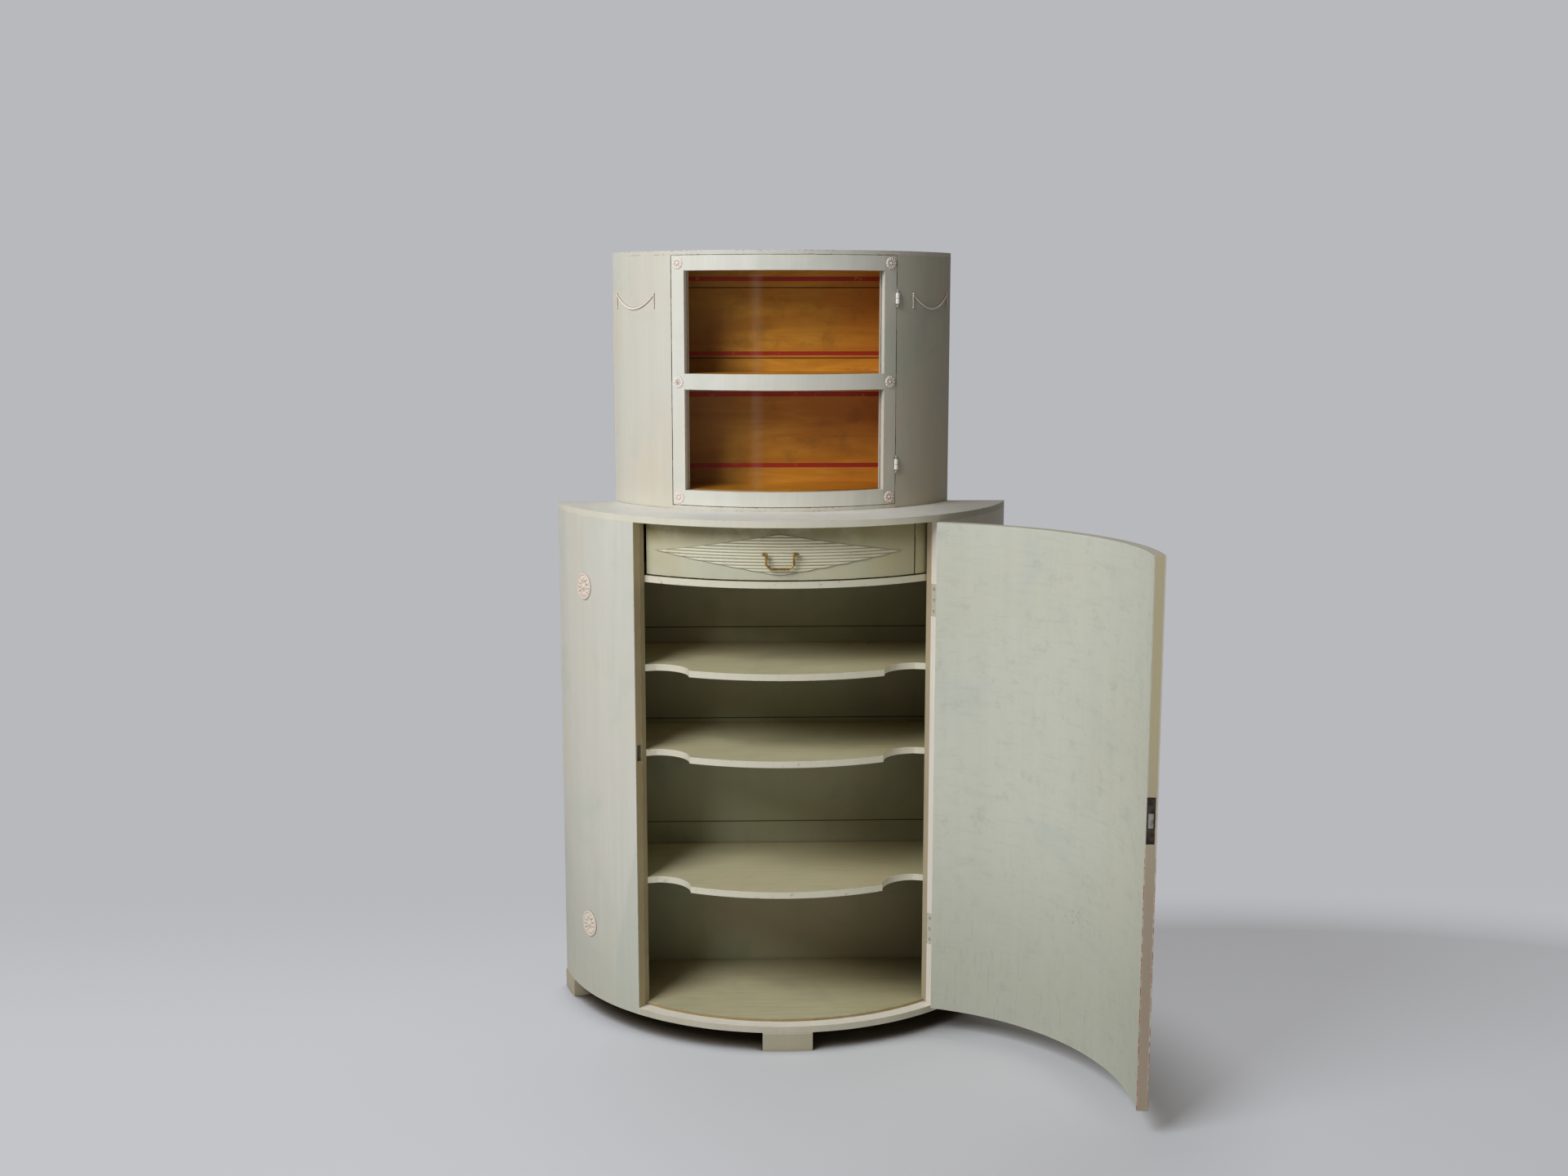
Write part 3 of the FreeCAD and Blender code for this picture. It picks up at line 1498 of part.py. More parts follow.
def make_vitrine_door():
    inner = vitrine_radius - size.frame_thickness
    outer = vitrine_radius
    sight = size.glass_half_angle
    rebate_angle = size.rebate_width / vitrine_radius * (180 / math.pi)
    gap_angle = size.glass_edge_gap / vitrine_radius * (180 / math.pi)
    pane_outer = vitrine_radius - size.glass_setback
    pane_inner = pane_outer - size.glass_thickness
    openings = (
        ("lower", size.bottom_rail_top, size.middle_rail_bottom),
        ("upper", size.middle_rail_top, size.top_rail_bottom),
    )
    rebates = []
    beads = []
    for name, low, high in openings:
        width = size.rebate_width
        gap = size.glass_edge_gap
        rebates.append(
            ring(
                name + "_rebate", vitrine, inner - OVERSHOOT, pane_outer, low - width,
                high + width, -(sight + rebate_angle), sight + rebate_angle,
            )
        )
        edge = sight + rebate_angle - gap_angle
        sub_part(
            name + "_glass_pane",
            ring(
                name + "_pane", vitrine, pane_inner, pane_outer,
                low - width + gap, high + width - gap, -edge, edge,
            ),
        )
        bead_blank = ring(
            name + "_bead_blank", vitrine, inner, pane_inner, low - width, high + width,
            -(sight + rebate_angle), sight + rebate_angle,
        )
        bead_opening = ring(
            name + "_bead_opening", vitrine, inner - OVERSHOOT, pane_inner + OVERSHOOT,
            low, high, -sight, sight,
        )
        beads.append(cut(name + "_bead", bead_blank, bead_opening))
    sub_part("vitrine_glazing_beads", group("bead_pair", *beads))

    for label, low, high in (
        ("vitrine_bottom_rail", size.frame_bottom, size.bottom_rail_top),
        ("vitrine_middle_rail", size.middle_rail_bottom, size.middle_rail_top),
        ("vitrine_top_rail", size.top_rail_bottom, size.frame_top),
    ):
        rail = ring(label + "_blank", vitrine, inner, outer, low, high, -sight, sight)
        sub_part(label, cut(label + "_body", rail, *rebates))

    cuts = []
    for index, low in enumerate(vitrine_hinge.lows):
        cuts += hinge_recess(vitrine_hinge, f"vitrine_stile_{index}", -1, low)
    hinge_cuts = vitrine_hinge.carried("stile_hinge_cuts", *cuts)
    right = ring(
        "right_stile_blank", vitrine, inner, outer, size.frame_bottom, size.frame_top,
        sight, frame_half_angle,
    )
    sub_part("vitrine_right_stile", cut("right_stile_body", right, hinge_cuts, *rebates))
    lock = vitrine_lock
    case_box, channel = lock_case(lock)
    key_inset = (vitrine_gap_angle - size.small_rosette_angle) * (math.pi / 180) * vitrine_radius
    key_up = size.small_rosette_middle
    key = keyhole(lock, size.vitrine_keyhole_radius, key_inset, key_up)
    lock_cuts = lock.carried("stile_lock_cuts", case_box, channel, key)
    left = ring(
        "left_stile_blank", vitrine, inner, outer, size.frame_bottom, size.frame_top,
        -frame_half_angle, -sight,
    )
    sub_part("vitrine_left_stile", cut("left_stile_body", left, lock_cuts, *rebates))
    case = cut("vitrine_case_body", case_box, channel, key)
    sub_part("vitrine_lock_case", lock.carried("vitrine_case", case))
    sub_part("vitrine_lock_bolt", lock.carried("vitrine_bolt", lock_bolt(lock)))
    make_small_rosettes(lock.carried("rosette_keyhole", key))


# Carved ornament, drawn facing the front on a tier's middle line

def front_disc(name, tier, radius, relief, depth):
    piece = make("Part::Cylinder", name, Radius=radius, Height=relief + depth)
    return place(piece, 0, depth - tier.radius, 0, rotation=FACING_FRONT)


def bead_circle(name, tier, count, circle, radius, sink, offset=0):
    pieces = []
    for index in range(int(count.value)):
        angle = size_of(FULL_TURN * index) / count + offset
        pieces.append(
            sphere(
                f"{name}_{index}", radius, circle * cosine(angle), sink - tier.radius,
                circle * sine(angle),
            )
        )
    return pieces


def surface_tool(name, tier, height):
    """The tier's curved face as a solid, to trim the back of an ornament."""
    piece = make("Part::Cylinder", name, Radius=tier.radius, Height=2 * height)
    return place(piece, 0, 0, -height)


def make_large_rosettes():
    relief = size.rosette_relief
    base = front_disc("rosette_base", lower, size.rosette_radius, relief, 2 * relief)
    rim = make(
        "Part::Torus", "rosette_rim",
        Radius1=size.rosette_radius - size.rosette_rim_radius, Radius2=size.rosette_rim_radius,
    )
    place(rim, 0, -(lower_radius + relief), 0, rotation=FACING_FRONT)
    dome = sphere(
        "rosette_dome", size.rosette_dome_radius, 0,
        size.rosette_dome_radius / 2 - lower_radius - relief, 0,
    )
    petals = bead_circle(
        "rosette_petal", lower, size.rosette_petals, size.rosette_petal_circle,
        size.rosette_petal_radius, size.rosette_petal_radius / 2 - relief,
    )
    solid = fuse("rosette_solid", base, rim, dome, *petals)
    trimmed = cut(
        "rosette_trimmed", solid, surface_tool("rosette_back", lower, 2 * size.rosette_radius)
    )
    placed = []
    for side in (-1, 1):
        for up in (size.rosette_low, size.rosette_high):
            name = f"rosette_{side + 1}_{int(up.value)}"
            placed.append(turned(name, lower, side * size.rosette_angle, trimmed, up=up))
    sub_part("side_rosettes", group("rosettes", *placed))


def make_small_rosettes(key):
    relief = size.small_rosette_relief
    base = front_disc("small_base", vitrine, size.small_rosette_radius, relief, 2 * relief)
    beads = bead_circle(
        "small_bead", vitrine, size.small_rosette_beads, size.small_rosette_bead_circle,
        size.small_rosette_bead_radius, size.small_rosette_bead_radius / 4 - relief,
    )
    dome = sphere(
        "small_dome", size.small_rosette_dome_radius, 0,
        size.small_rosette_dome_radius / 2 - vitrine_radius - relief, 0,
    )
    solid = fuse("small_solid", base, dome, *beads)
    back = surface_tool("small_back", vitrine, 2 * size.small_rosette_radius)
    trimmed = cut("small_trimmed", solid, back)
    placed = []
    for side in (-1, 1):
        for up in (size.small_rosette_low, size.small_rosette_middle, size.small_rosette_high):
            name = f"small_{side + 1}_{int(up.value)}"
            piece = turned(name, vitrine, side * size.small_rosette_angle, trimmed, up=up)
            if side < 0 and up is size.small_rosette_middle:
                piece = cut("rosette_with_keyhole", piece, key)
            placed.append(piece)
    sub_part("vitrine_door_rosettes", group("small_rosettes", *placed))


def make_garlands():
    """A hanging garland with a beaded drop at each end, on each side of the vitrine."""
    radius = vitrine_radius
    half = size.garland_half_angle
    rod = size.garland_rod_radius
    lift = rod.value / 4
    reach = radius.value + lift
    corner = math.radians(half.value)
    right = FreeCAD.Vector(reach * math.sin(corner), -reach * math.cos(corner), 0)
    left = FreeCAD.Vector(-right.x, right.y, 0)
    lowest = FreeCAD.Vector(0, -reach, -size.garland_drop.value)
    path = Part.Wire([Part.Arc(left, lowest, right).toShape()])
    start = path.Edges[0].tangentAt(path.Edges[0].FirstParameter)
    section = Part.Wire([Part.Circle(left, start, rod.value).toShape()])
    swag = document.addObject("Part::Feature", "swag")
    swag.Shape = path.makePipeShell([section], True, False)
    pieces = [swag]
    along = -(radius * cosine(half))
    for side in (-1, 1):
        across = side * (radius * sine(half))
        for index in range(int(size.tassel_beads.value)):
            pieces.append(
                sphere(
                    f"tassel_{side + 1}_{index}", size.tassel_bead_radius, across, along,
                    -size.tassel_pitch * index,
                )
            )
        length = size.tassel_pitch * (size.tassel_beads - 1)
        cord = make(
            "Part::Cylinder", f"tassel_cord_{side + 1}", Radius=size.tassel_cord_radius,
            Height=length,
        )
        pieces.append(place(cord, across, along, -length))
    solid = fuse("garland_solid", *pieces)
    trimmed = cut(
        "garland_trimmed", solid, surface_tool("garland_back", vitrine, 3 * size.garland_drop)
    )
    placed = []
    for side in (-1, 1):
        placed.append(
            turned(
                f"garland_{side + 1}", vitrine, side * size.garland_angle, trimmed,
                up=size.garland_height,
            )
        )
    sub_part("vitrine_garlands", group("garlands", *placed))


make_lower_boards()
make_lower_backs()
make_lower_sides()
make_feet()
make_lower_door()
make_drawer_carcass()
make_drawer()
make_lozenge()
make_handle()
make_vitrine_boards()
make_vitrine_sides()
make_vitrine_hinges()
make_vitrine_door()
make_large_rosettes()
make_garlands()
document.recompute()

# Every object has to be sound before anything is written

for item in document.Objects:
    if "Invalid" in item.State or "Error" in item.State:
        raise RuntimeError(f"{item.Name} could not be built: {item.State}")
for piece in sub_parts:
    shape = piece.Shape
    if shape.isNull() or not shape.isValid() or not shape.Solids:
        raise RuntimeError(f"{piece.Label} has no sound solid")

os.makedirs("parts", exist_ok=True)
for piece in sub_parts:
    piece.Shape.exportStep(f"parts/{piece.Label}.step")
    print(piece.Label, len(piece.Shape.Solids), round(piece.Shape.Volume))
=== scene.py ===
import json
import math

import bmesh
import bpy
from mathutils import Matrix, Vector


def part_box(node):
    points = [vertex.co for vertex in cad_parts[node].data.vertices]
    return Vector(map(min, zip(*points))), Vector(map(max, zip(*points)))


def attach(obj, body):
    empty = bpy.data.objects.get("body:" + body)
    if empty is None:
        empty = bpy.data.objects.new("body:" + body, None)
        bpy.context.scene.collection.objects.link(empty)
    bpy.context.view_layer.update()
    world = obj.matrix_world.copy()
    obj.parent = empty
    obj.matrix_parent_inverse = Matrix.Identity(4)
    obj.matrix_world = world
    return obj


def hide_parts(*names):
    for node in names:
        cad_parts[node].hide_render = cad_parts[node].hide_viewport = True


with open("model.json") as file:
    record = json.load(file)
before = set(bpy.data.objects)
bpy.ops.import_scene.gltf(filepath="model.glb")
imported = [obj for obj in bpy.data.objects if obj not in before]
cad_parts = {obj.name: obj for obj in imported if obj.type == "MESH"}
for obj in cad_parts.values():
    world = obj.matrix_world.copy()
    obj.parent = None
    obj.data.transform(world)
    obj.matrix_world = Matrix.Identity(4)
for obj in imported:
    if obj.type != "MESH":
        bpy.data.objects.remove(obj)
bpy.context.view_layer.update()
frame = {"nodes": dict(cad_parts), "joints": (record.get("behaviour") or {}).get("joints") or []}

nodes = frame["nodes"]
joints = {joint["name"]: joint for joint in frame["joints"]}


# Places read from the frame, in metres, with angles measured from the middle of the front

FACE_SLACK = 0.002


def arc_through(half_width, depth):
    """Radius of the arc whose chord is twice half_width and whose rise is depth."""
    return (half_width * half_width + depth * depth) / (2 * depth)


def face_angles(name, centre, radius):
    """How far round from the front the points on a curved piece's outer face lie."""
    node = nodes[name]
    points = [node.matrix_world @ vertex.co for vertex in node.data.vertices]
    return [
        abs(math.atan2(point.x - centre.x, centre.y - point.y))
        for point in points if (point.xy - centre).length > radius - FACE_SLACK
    ]


# The half drum of the lower tier, the hole for its lock's bolt and the seams in its back
top_low, top_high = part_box("lower_top_board")
bolt_low, bolt_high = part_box("door_lock_bolt")
LOWER_FRONT = top_low.y
BACK = top_high.y
LOWER_RADIUS = arc_through(top_high.x, BACK - LOWER_FRONT)
LOWER_CENTRE = Vector((0, LOWER_FRONT + LOWER_RADIUS))
OPENING_HALF = math.radians(38.4)
STRIKE_LOW = bolt_low.z
STRIKE_HIGH = bolt_high.z
STRIKE_INNER = LOWER_RADIUS - 0.015
STRIKE_OUTER = LOWER_RADIUS - 0.008
LOWER_BACK_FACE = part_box("lower_back_board_1")[0].y
SEAM_HALF = 0.0004
LOWER_SEAMS = [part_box(f"lower_back_board_{number}")[1].z + SEAM_HALF for number in (1, 2, 3)]

# The lower door, whose arc has turned with it about the hinge, and a scuff on its inside
DOOR_THICKNESS = 0.0215
DOOR_HALF = math.radians(38.2)
hinge = joints["lower_door_hinge"]
hinge_place = Vector(hinge["pos_m"][:2])
OPEN_ANGLE = -math.radians(hinge["range_deg"][0])
DOOR_CENTRE = hinge_place + Matrix.Rotation(OPEN_ANGLE, 2) @ (LOWER_CENTRE - hinge_place)
DOOR_INNER = LOWER_RADIUS - DOOR_THICKNESS
FREE_EDGE = OPEN_ANGLE - DOOR_HALF
SCUFF_HEIGHTS = (0.31, 0.35)
SCUFF_ANGLES = (2.0, 2.2)

# The drawer front, the gap to its right, and the middle and half spans of its lozenge
drawer_low, drawer_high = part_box("drawer_front")
lozenge_low, lozenge_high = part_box("drawer_lozenge")
DRAWER_TOP = drawer_high.z
DRAWER_LOW = drawer_low.z
DRAWER_RIGHT = drawer_high.x
DRAWER_GAP = 0.0023
REED_SETBACK = 0.040
REED_FACE = LOWER_RADIUS - REED_SETBACK
LOZENGE_MIDDLE = (lozenge_low + lozenge_high) / 2
LOZENGE_SPAN = (lozenge_high - lozenge_low) / 2

# The smaller half drum of the vitrine, whose meshed arc falls a hair short of its true depth
rim_low, rim_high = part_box("vitrine_top_board")
base_low, base_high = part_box("vitrine_base_board")
stile_low, stile_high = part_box("vitrine_left_stile")
VITRINE_DEPTH = 0.225
VITRINE_RADIUS = arc_through(rim_high.x, VITRINE_DEPTH)
VITRINE_CENTRE = Vector((0, BACK - VITRINE_DEPTH + VITRINE_RADIUS))
VITRINE_BOTTOM = base_low.z
VITRINE_BACK_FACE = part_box("vitrine_back_boards")[0].y
VITRINE_SEAMS = [VITRINE_BOTTOM + height for height in (0.471, 0.318)]
RIM_EDGES = (rim_low.z, rim_high.z)
BASE_EDGES = (base_low.z, base_high.z)
DRUM_JAMB = min(face_angles("vitrine_left_panel", VITRINE_CENTRE, VITRINE_RADIUS))
FRAME_SIDE = max(face_angles("vitrine_left_stile", VITRINE_CENTRE, VITRINE_RADIUS))
FRAME_TOP = stile_high.z
FRAME_LOW = stile_low.z
BARREL_AXIS = Vector(joints["vitrine_door_hinge"]["pos_m"][:2])

# Bands of red paint on the vitrine's back, each by the heights of its edges over the base
STRIPES = [
    (VITRINE_BOTTOM + low, VITRINE_BOTTOM + high)
    for low, high in ((0.485, 0.495), (0.3235, 0.3325), (0.2335, 0.2435), (0.076, 0.086))
]

# Carved ornaments
round_low, round_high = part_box("side_rosettes")
small_low, small_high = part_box("vitrine_door_rosettes")
ROSETTE_ANGLE = math.radians(57.2)
ROSETTE_RADIUS = 0.029
ROSETTE_HEIGHTS = (round_low.z + ROSETTE_RADIUS, round_high.z - ROSETTE_RADIUS)
SMALL_ANGLE = math.radians(32.55)
SMALL_RADIUS = 0.0125
KEYED_HEIGHT = VITRINE_BOTTOM + 0.271
SMALL_HEIGHTS = (small_low.z + SMALL_RADIUS, KEYED_HEIGHT, small_high.z - SMALL_RADIUS)
GARLAND_ANGLE = math.radians(50.25)
GARLAND_HALF = math.radians(9) * VITRINE_RADIUS
GARLAND_RISE = 0.030
GARLAND_OUT = 0.0014
GARLAND_LIFT = 0.0023
GARLAND_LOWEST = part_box("vitrine_garlands")[0].z + GARLAND_LIFT

# Loose tongues in the seams of the back boards: half their length, and the seams they fill
TONGUE_DEPTH = (VITRINE_BACK_FACE + BACK) / 2
TONGUES = ((0.474, LOWER_SEAMS), (0.340, VITRINE_SEAMS))

# How far a painted line fades at each edge
LINE_SOFT = 0.0004

# Tones of the paints: each a ground with a warmer and a cooler cloud
OUTER = ("#d6d3c6", "#d9d0bd", "#cfcfc0")
SHADED = ("#c9c6b6", "#ccc3ae", "#c1c1b0")
PALE_FRAME = ("#e0ded3", "#dfdacb", "#d8d8cb")
INNER = ("#adac8d", "#b0a789", "#a1a286")
SHELF = ("#cfc8a4", "#d3c6a0", "#c4c09e")
LEDGE = ("#cbc4b0", "#c8bba2", "#c1bba8")
LEAF = ("#cfccbf", "#cdc4b2", "#c6c8bb")
BARREL = ("#f4f0e8", "#f1eade", "#ebeae2")
CARVING = ("#e6d8c8", "#e6d0bd", "#dcd2c4")
# A paler copy of the carving tones for the vitrine's ornaments: painted light, so that they stand
# out on the shaded drum
HIGHLIT_CARVING = ("#f4eadf", "#f2dfd0", "#ebe2d6")
WORN = "#e8e0cf"
UNDER = "#867152"
GAP = "#2a2117"


# Node materials

def tint(text):
    """A colour written as a screen shows it, as the linear values a shader takes."""
    values = [int(text[i:i + 2], 16) / 255 for i in (1, 3, 5)]
    return [v / 12.92 if v <= 0.04045 else ((v + 0.055) / 1.055) ** 2.4 for v in values] + [1]


class Look:
    """One material and short names for the nodes that it is built from."""

    def __init__(self, name):
        self.material = bpy.data.materials.new(name)
        self.material.use_nodes = True
        self.tree = self.material.node_tree
        self.shader = self.tree.nodes["Principled BSDF"]
        self.output = self.tree.nodes["Material Output"]
        self.place = self.add("ShaderNodeTexCoord").outputs["Object"]

    def feed(self, socket, value):
        if isinstance(value, bpy.types.NodeSocket):
            self.tree.links.new(value, socket)
        else:
            socket.default_value = value

    def add(self, kind, inputs=(), **settings):
        node = self.tree.nodes.new(kind)
        for key, value in settings.items():
            setattr(node, key, value)
        for key, value in dict(inputs).items():
            self.feed(node.inputs[key], value)
        return node

    def math(self, operation, first, *others):
        """The operation over two values, or over a row of them from left to right."""
        for other in others:
            node = self.add("ShaderNodeMath", operation=operation)
            self.feed(node.inputs[0], first)
            self.feed(node.inputs[1], other)
            first = node.outputs[0]
        return first

    def times(self, *values):
        return self.math("MULTIPLY", *values)

    def plus(self, *values):
        return self.math("ADD", *values)

    def minus(self, *values):
        return self.math("SUBTRACT", *values)

    def most(self, *values):
        return self.math("MAXIMUM", *values)

    def size(self, value):
        node = self.add("ShaderNodeMath", operation="ABSOLUTE")
        self.feed(node.inputs[0], value)
        return node.outputs[0]

    def vector(self, operation, first, second=None, result="Vector"):
        node = self.add("ShaderNodeVectorMath", operation=operation)
        self.feed(node.inputs[0], first)
        if second is not None:
            self.feed(node.inputs[1], second)
        return node.outputs[result]

    def stretched(self, *scale):
        """The surface's own coordinates, scaled by axis, so that a noise runs along one of them."""
        return self.add("ShaderNodeMapping", {"Vector": self.place, "Scale": scale}).outputs[0]

    def noise(self, scale, detail=3, rough=0.5, place=None, distortion=0):
        node = self.add("ShaderNodeTexNoise", {
            "Vector": place or self.place, "Scale": scale, "Detail": detail,
            "Roughness": rough, "Distortion": distortion,
        })
        return node.outputs["Fac"]

    def ease(self, value, start, end):
        """0 at start, 1 at end, and a smooth step between."""
        node = self.add("ShaderNodeMapRange", {
            "Value": value, "From Min": start, "From Max": end,
        }, interpolation_type="SMOOTHSTEP")
        return node.outputs["Result"]

    def patches(self, start, end, *noise, **settings):
        """Soft patches: the given noise, eased from 0 at start to 1 at end."""
        return self.ease(self.noise(*noise, **settings), start, end)

    def span(self, value, low, high, soft):
        """1 between low and high, 0 outside them."""
        above = self.ease(value, low - soft, low + soft)
        below = self.ease(value, high + soft, high - soft)
        return self.times(above, below)

    def mix(self, factor, under, over, blend="MIX"):
        node = self.add("ShaderNodeMix", data_type="RGBA", blend_type=blend)
        self.feed(node.inputs["Factor"], factor)
        self.feed(node.inputs["A"], under)
        self.feed(node.inputs["B"], over)
        return node.outputs["Result"]

    def stain(self, colour, mask, tone, strength=1):
        """The colour with a tone laid over it where the mask says, as strongly as told."""
        return self.mix(self.times(mask, strength), colour, tint(tone))

    def split(self, place=None):
        return self.add("ShaderNodeSeparateXYZ", {"Vector": place or self.place}).outputs

    def around(self, centre):
        """Angle from the front, radius and height of a point about an upright axis."""
        x, y, z = self.split()
        x = self.minus(x, centre.x)
        y = self.minus(centre.y, y)
        radius = self.add("ShaderNodeMath", operation="SQRT")
        self.feed(radius.inputs[0], self.plus(self.times(x, x), self.times(y, y)))
        return self.math("ARCTAN2", x, y), radius.outputs[0], z

    def levelness(self):
        """1 on a top or an underside, 0 on an upright face."""
        normal = self.add("ShaderNodeNewGeometry").outputs["True Normal"]
        return self.size(self.split(normal)[2])

    def edges(self, radius, low=0.02, high=0.2):
        """1 on the arrises of a piece, fading to 0 within radius of them."""
        bevel = self.add("ShaderNodeBevel", {"Radius": radius}, samples=6).outputs[0]
        normal = self.add("ShaderNodeNewGeometry").outputs["True Normal"]
        turn = self.vector("DOT_PRODUCT", bevel, normal, result="Value")
        return self.ease(self.minus(1, turn), low, high)

    def hollow(self, distance, start, end, samples=6):
        """1 in hollows and corners about as wide as distance, 0 on open faces."""
        node = self.add("ShaderNodeAmbientOcclusion", {"Distance": distance}, samples=samples)
        return self.ease(node.outputs["AO"], start, end)

    def relief(self, height, strength, distance, round_edges=0.0008):
        """Bump from a height, over arrises that are softened a little."""
        soft = self.add("ShaderNodeBevel", {"Radius": round_edges}, samples=4)
        node = self.add("ShaderNodeBump", {
            "Height": height, "Strength": strength, "Distance": distance,
            "Normal": soft.outputs[0],
        })
        self.feed(self.shader.inputs["Normal"], node.outputs[0])

    def finish(self, colour, roughness):
        self.feed(self.shader.inputs["Base Color"], colour)
        self.feed(self.shader.inputs["Roughness"], roughness)
        return self.material


def brushed(look, ground, warm, cool):
    """The broad tones of a hand-painted face: a ground with warmer and cooler clouds."""
    colour = look.stain(tint(ground), look.patches(0.42, 0.66, 2.6, 4, 0.6), warm)
    return look.stain(colour, look.patches(0.5, 0.72, 7, 3, 0.55, distortion=0.6), cool)


def aged(look, colour, worn, under, wear=0.5, roughness=0.5, dirt_and_shade=0.25, streaks=1.0):
    """Brush marks, specks, grime and painted shade in the hollows, and rubbed arrises over a
    paint's tones.
    """
    brush = look.noise(1, 4, 0.6, look.stretched(170, 170, 5))
    streak = look.noise(1, 3, 0.5, look.stretched(26, 26, 1.4))
    shade = look.plus(look.times(brush, 0.10 * streaks), look.times(streak, 0.16 * streaks))
    shade = look.plus(shade, 1 - 0.13 * streaks)
    grey = look.add("ShaderNodeCombineColor", {"Red": shade, "Green": shade, "Blue": shade})
    colour = look.mix(1, colour, grey.outputs[0], "MULTIPLY")
    speck = look.noise(310, 2, 0.7)
    marks = look.times(look.ease(speck, 0.68, 0.75), look.patches(0.5, 0.65, 9, 3))
    colour = look.stain(colour, marks, under, 0.35)
    # painted shade: an occlusion mask darkens hollows and corners where shade falls, together with
    # the grime there
    colour = look.stain(colour, look.hollow(0.018, 0.75, 0.3), under, dirt_and_shade)
    grain = look.noise(1, 3, 0.6, look.stretched(420, 420, 22))
    height = look.plus(look.times(grain, 0.5), look.times(speck, 0.25))
    if wear:
        rubbed = look.patches(0.62 - 0.3 * wear, 0.72 - 0.3 * wear, 34, 4, 0.65)
        colour = look.stain(colour, look.times(look.edges(0.0035), rubbed), worn, 0.8)
        chips = look.patches(0.66 - 0.2 * wear, 0.74 - 0.2 * wear, 120, 3, 0.7)
        bare = look.times(look.edges(0.0018, 0.05, 0.25), chips)
        colour = look.stain(colour, bare, under, 0.75)
        height = look.minus(height, look.times(bare, 0.6))
    look.relief(height, 0.16, 0.0006)
    dull = look.plus(look.times(look.noise(7, 3, 0.55), 0.18), roughness - 0.09)
    return look.finish(colour, dull)


def outer_paint():
    """The cream paint of the outside."""
    look = Look("outer_paint_look")
    return aged(look, brushed(look, *OUTER), WORN, UNDER)


def side_paint(name, side, jamb_tone):
    """A curved side: outer paint outside, the darker inner paint inside, its own jamb tone."""
    look = Look(name)
    angle, radius, height = look.around(LOWER_CENTRE)
    low = look.ease(look.plus(height, look.times(angle, 0.25)), 0.25, -0.2)
    colour = look.stain(brushed(look, *OUTER), low, "#b7b7a6", 0.55)
    slope = look.times(look.plus(angle, OPENING_HALF), -2.2 * side)
    below = look.ease(look.minus(height, slope), 0.47, 0.41)
    colour = look.stain(colour, below, "#bcc2b3", 0.4)
    inside = look.ease(radius, LOWER_RADIUS - 0.003, LOWER_RADIUS - 0.007)
    colour = look.mix(inside, colour, brushed(look, *INNER))
    jamb = look.times(
        look.ease(look.times(angle, side), OPENING_HALF + 0.004, OPENING_HALF + 0.001),
        look.ease(radius, LOWER_RADIUS - 0.001, LOWER_RADIUS - 0.003),
    )
    colour = look.stain(colour, jamb, jamb_tone)
    if side < 0:
        # painted shade: the hole for the lock's bolt is painted near-black on the left jamb
        mortise = look.times(
            jamb, look.span(height, STRIKE_LOW, STRIKE_HIGH, 0.0006),
            look.span(radius, STRIKE_INNER, STRIKE_OUTER, LINE_SOFT),
        )
        colour = look.stain(colour, mortise, "#1d1710")
    return aged(look, colour, WORN, UNDER, wear=0.6)


def door_inside(look, angle, height):
    """The door's greyer green inner face, with scuffs and drag marks towards its foot."""
    colour = brushed(look, "#cfd0c1", "#cecebd", "#c9cbbe")
    colour = look.stain(colour, look.ease(height, 0.55, 0.1), "#b9baa9", 0.8)
    across = look.patches(0.5, 0.72, 1, 4, 0.65, look.stretched(16, 16, 120))
    colour = look.stain(colour, across, "#a3a594", 0.16)
    blots = look.times(look.patches(0.52, 0.7, 26, 5, 0.75), look.noise(5, 2))
    colour = look.stain(colour, blots, "#989c8c", 0.4)
    drag = look.patches(0.56, 0.68, 1, 4, 0.7, look.stretched(150, 150, 14))
    colour = look.stain(colour, look.times(drag, look.ease(height, 0.4, 0.06)), "#7c7d68", 0.24)
    scuff = look.times(
        look.span(height, *SCUFF_HEIGHTS, 0.03), look.span(angle, *SCUFF_ANGLES, 0.12),
        look.patches(0.56, 0.64, 130, 4, 0.8),
    )
    return look.stain(colour, scuff, "#5d5b48", 0.75)


def door_paint():
    """The bowed door: outer paint outside, a greyer green inside, tan edges, with a painted
    highlight on the level ones.
    """
    look = Look("lower_door_paint")
    angle, radius, height = look.around(DOOR_CENTRE)
    face = look.ease(radius, DOOR_INNER + 0.004, DOOR_INNER + 0.001)
    colour = look.mix(face, brushed(look, *OUTER), door_inside(look, angle, height))
    edge = look.times(
        look.ease(radius, LOWER_RADIUS - 0.0012, LOWER_RADIUS - 0.003),
        look.ease(radius, DOOR_INNER + 0.0012, DOOR_INNER + 0.003),
    )
    tan = look.stain(tint("#b0a08c"), look.ease(height, 0.35, 0.85), "#c6ba96")
    # painted highlight: the level edges, top and underside, are painted paler cream
    tan = look.stain(tan, look.ease(look.levelness(), 0.5, 0.8), "#dfdbca")
    colour = look.mix(edge, colour, tan)
    lines = look.most(
        look.span(radius, DOOR_INNER - 0.001, DOOR_INNER + 0.0016, 0.0006),
        look.span(radius, LOWER_RADIUS - 0.0016, LOWER_RADIUS + 0.001, 0.0006),
    )
    lines = look.times(
        lines, look.ease(angle, FREE_EDGE + 0.007, FREE_EDGE + 0.003),
        look.ease(height, 0.62, 0.5), look.patches(0.4, 0.55, 70, 4, 0.75),
    )
    colour = look.stain(colour, lines, "#b0623a")
    return aged(look, colour, "#e3dccb", "#8c5030", wear=0.45, dirt_and_shade=0.3, streaks=0.6)


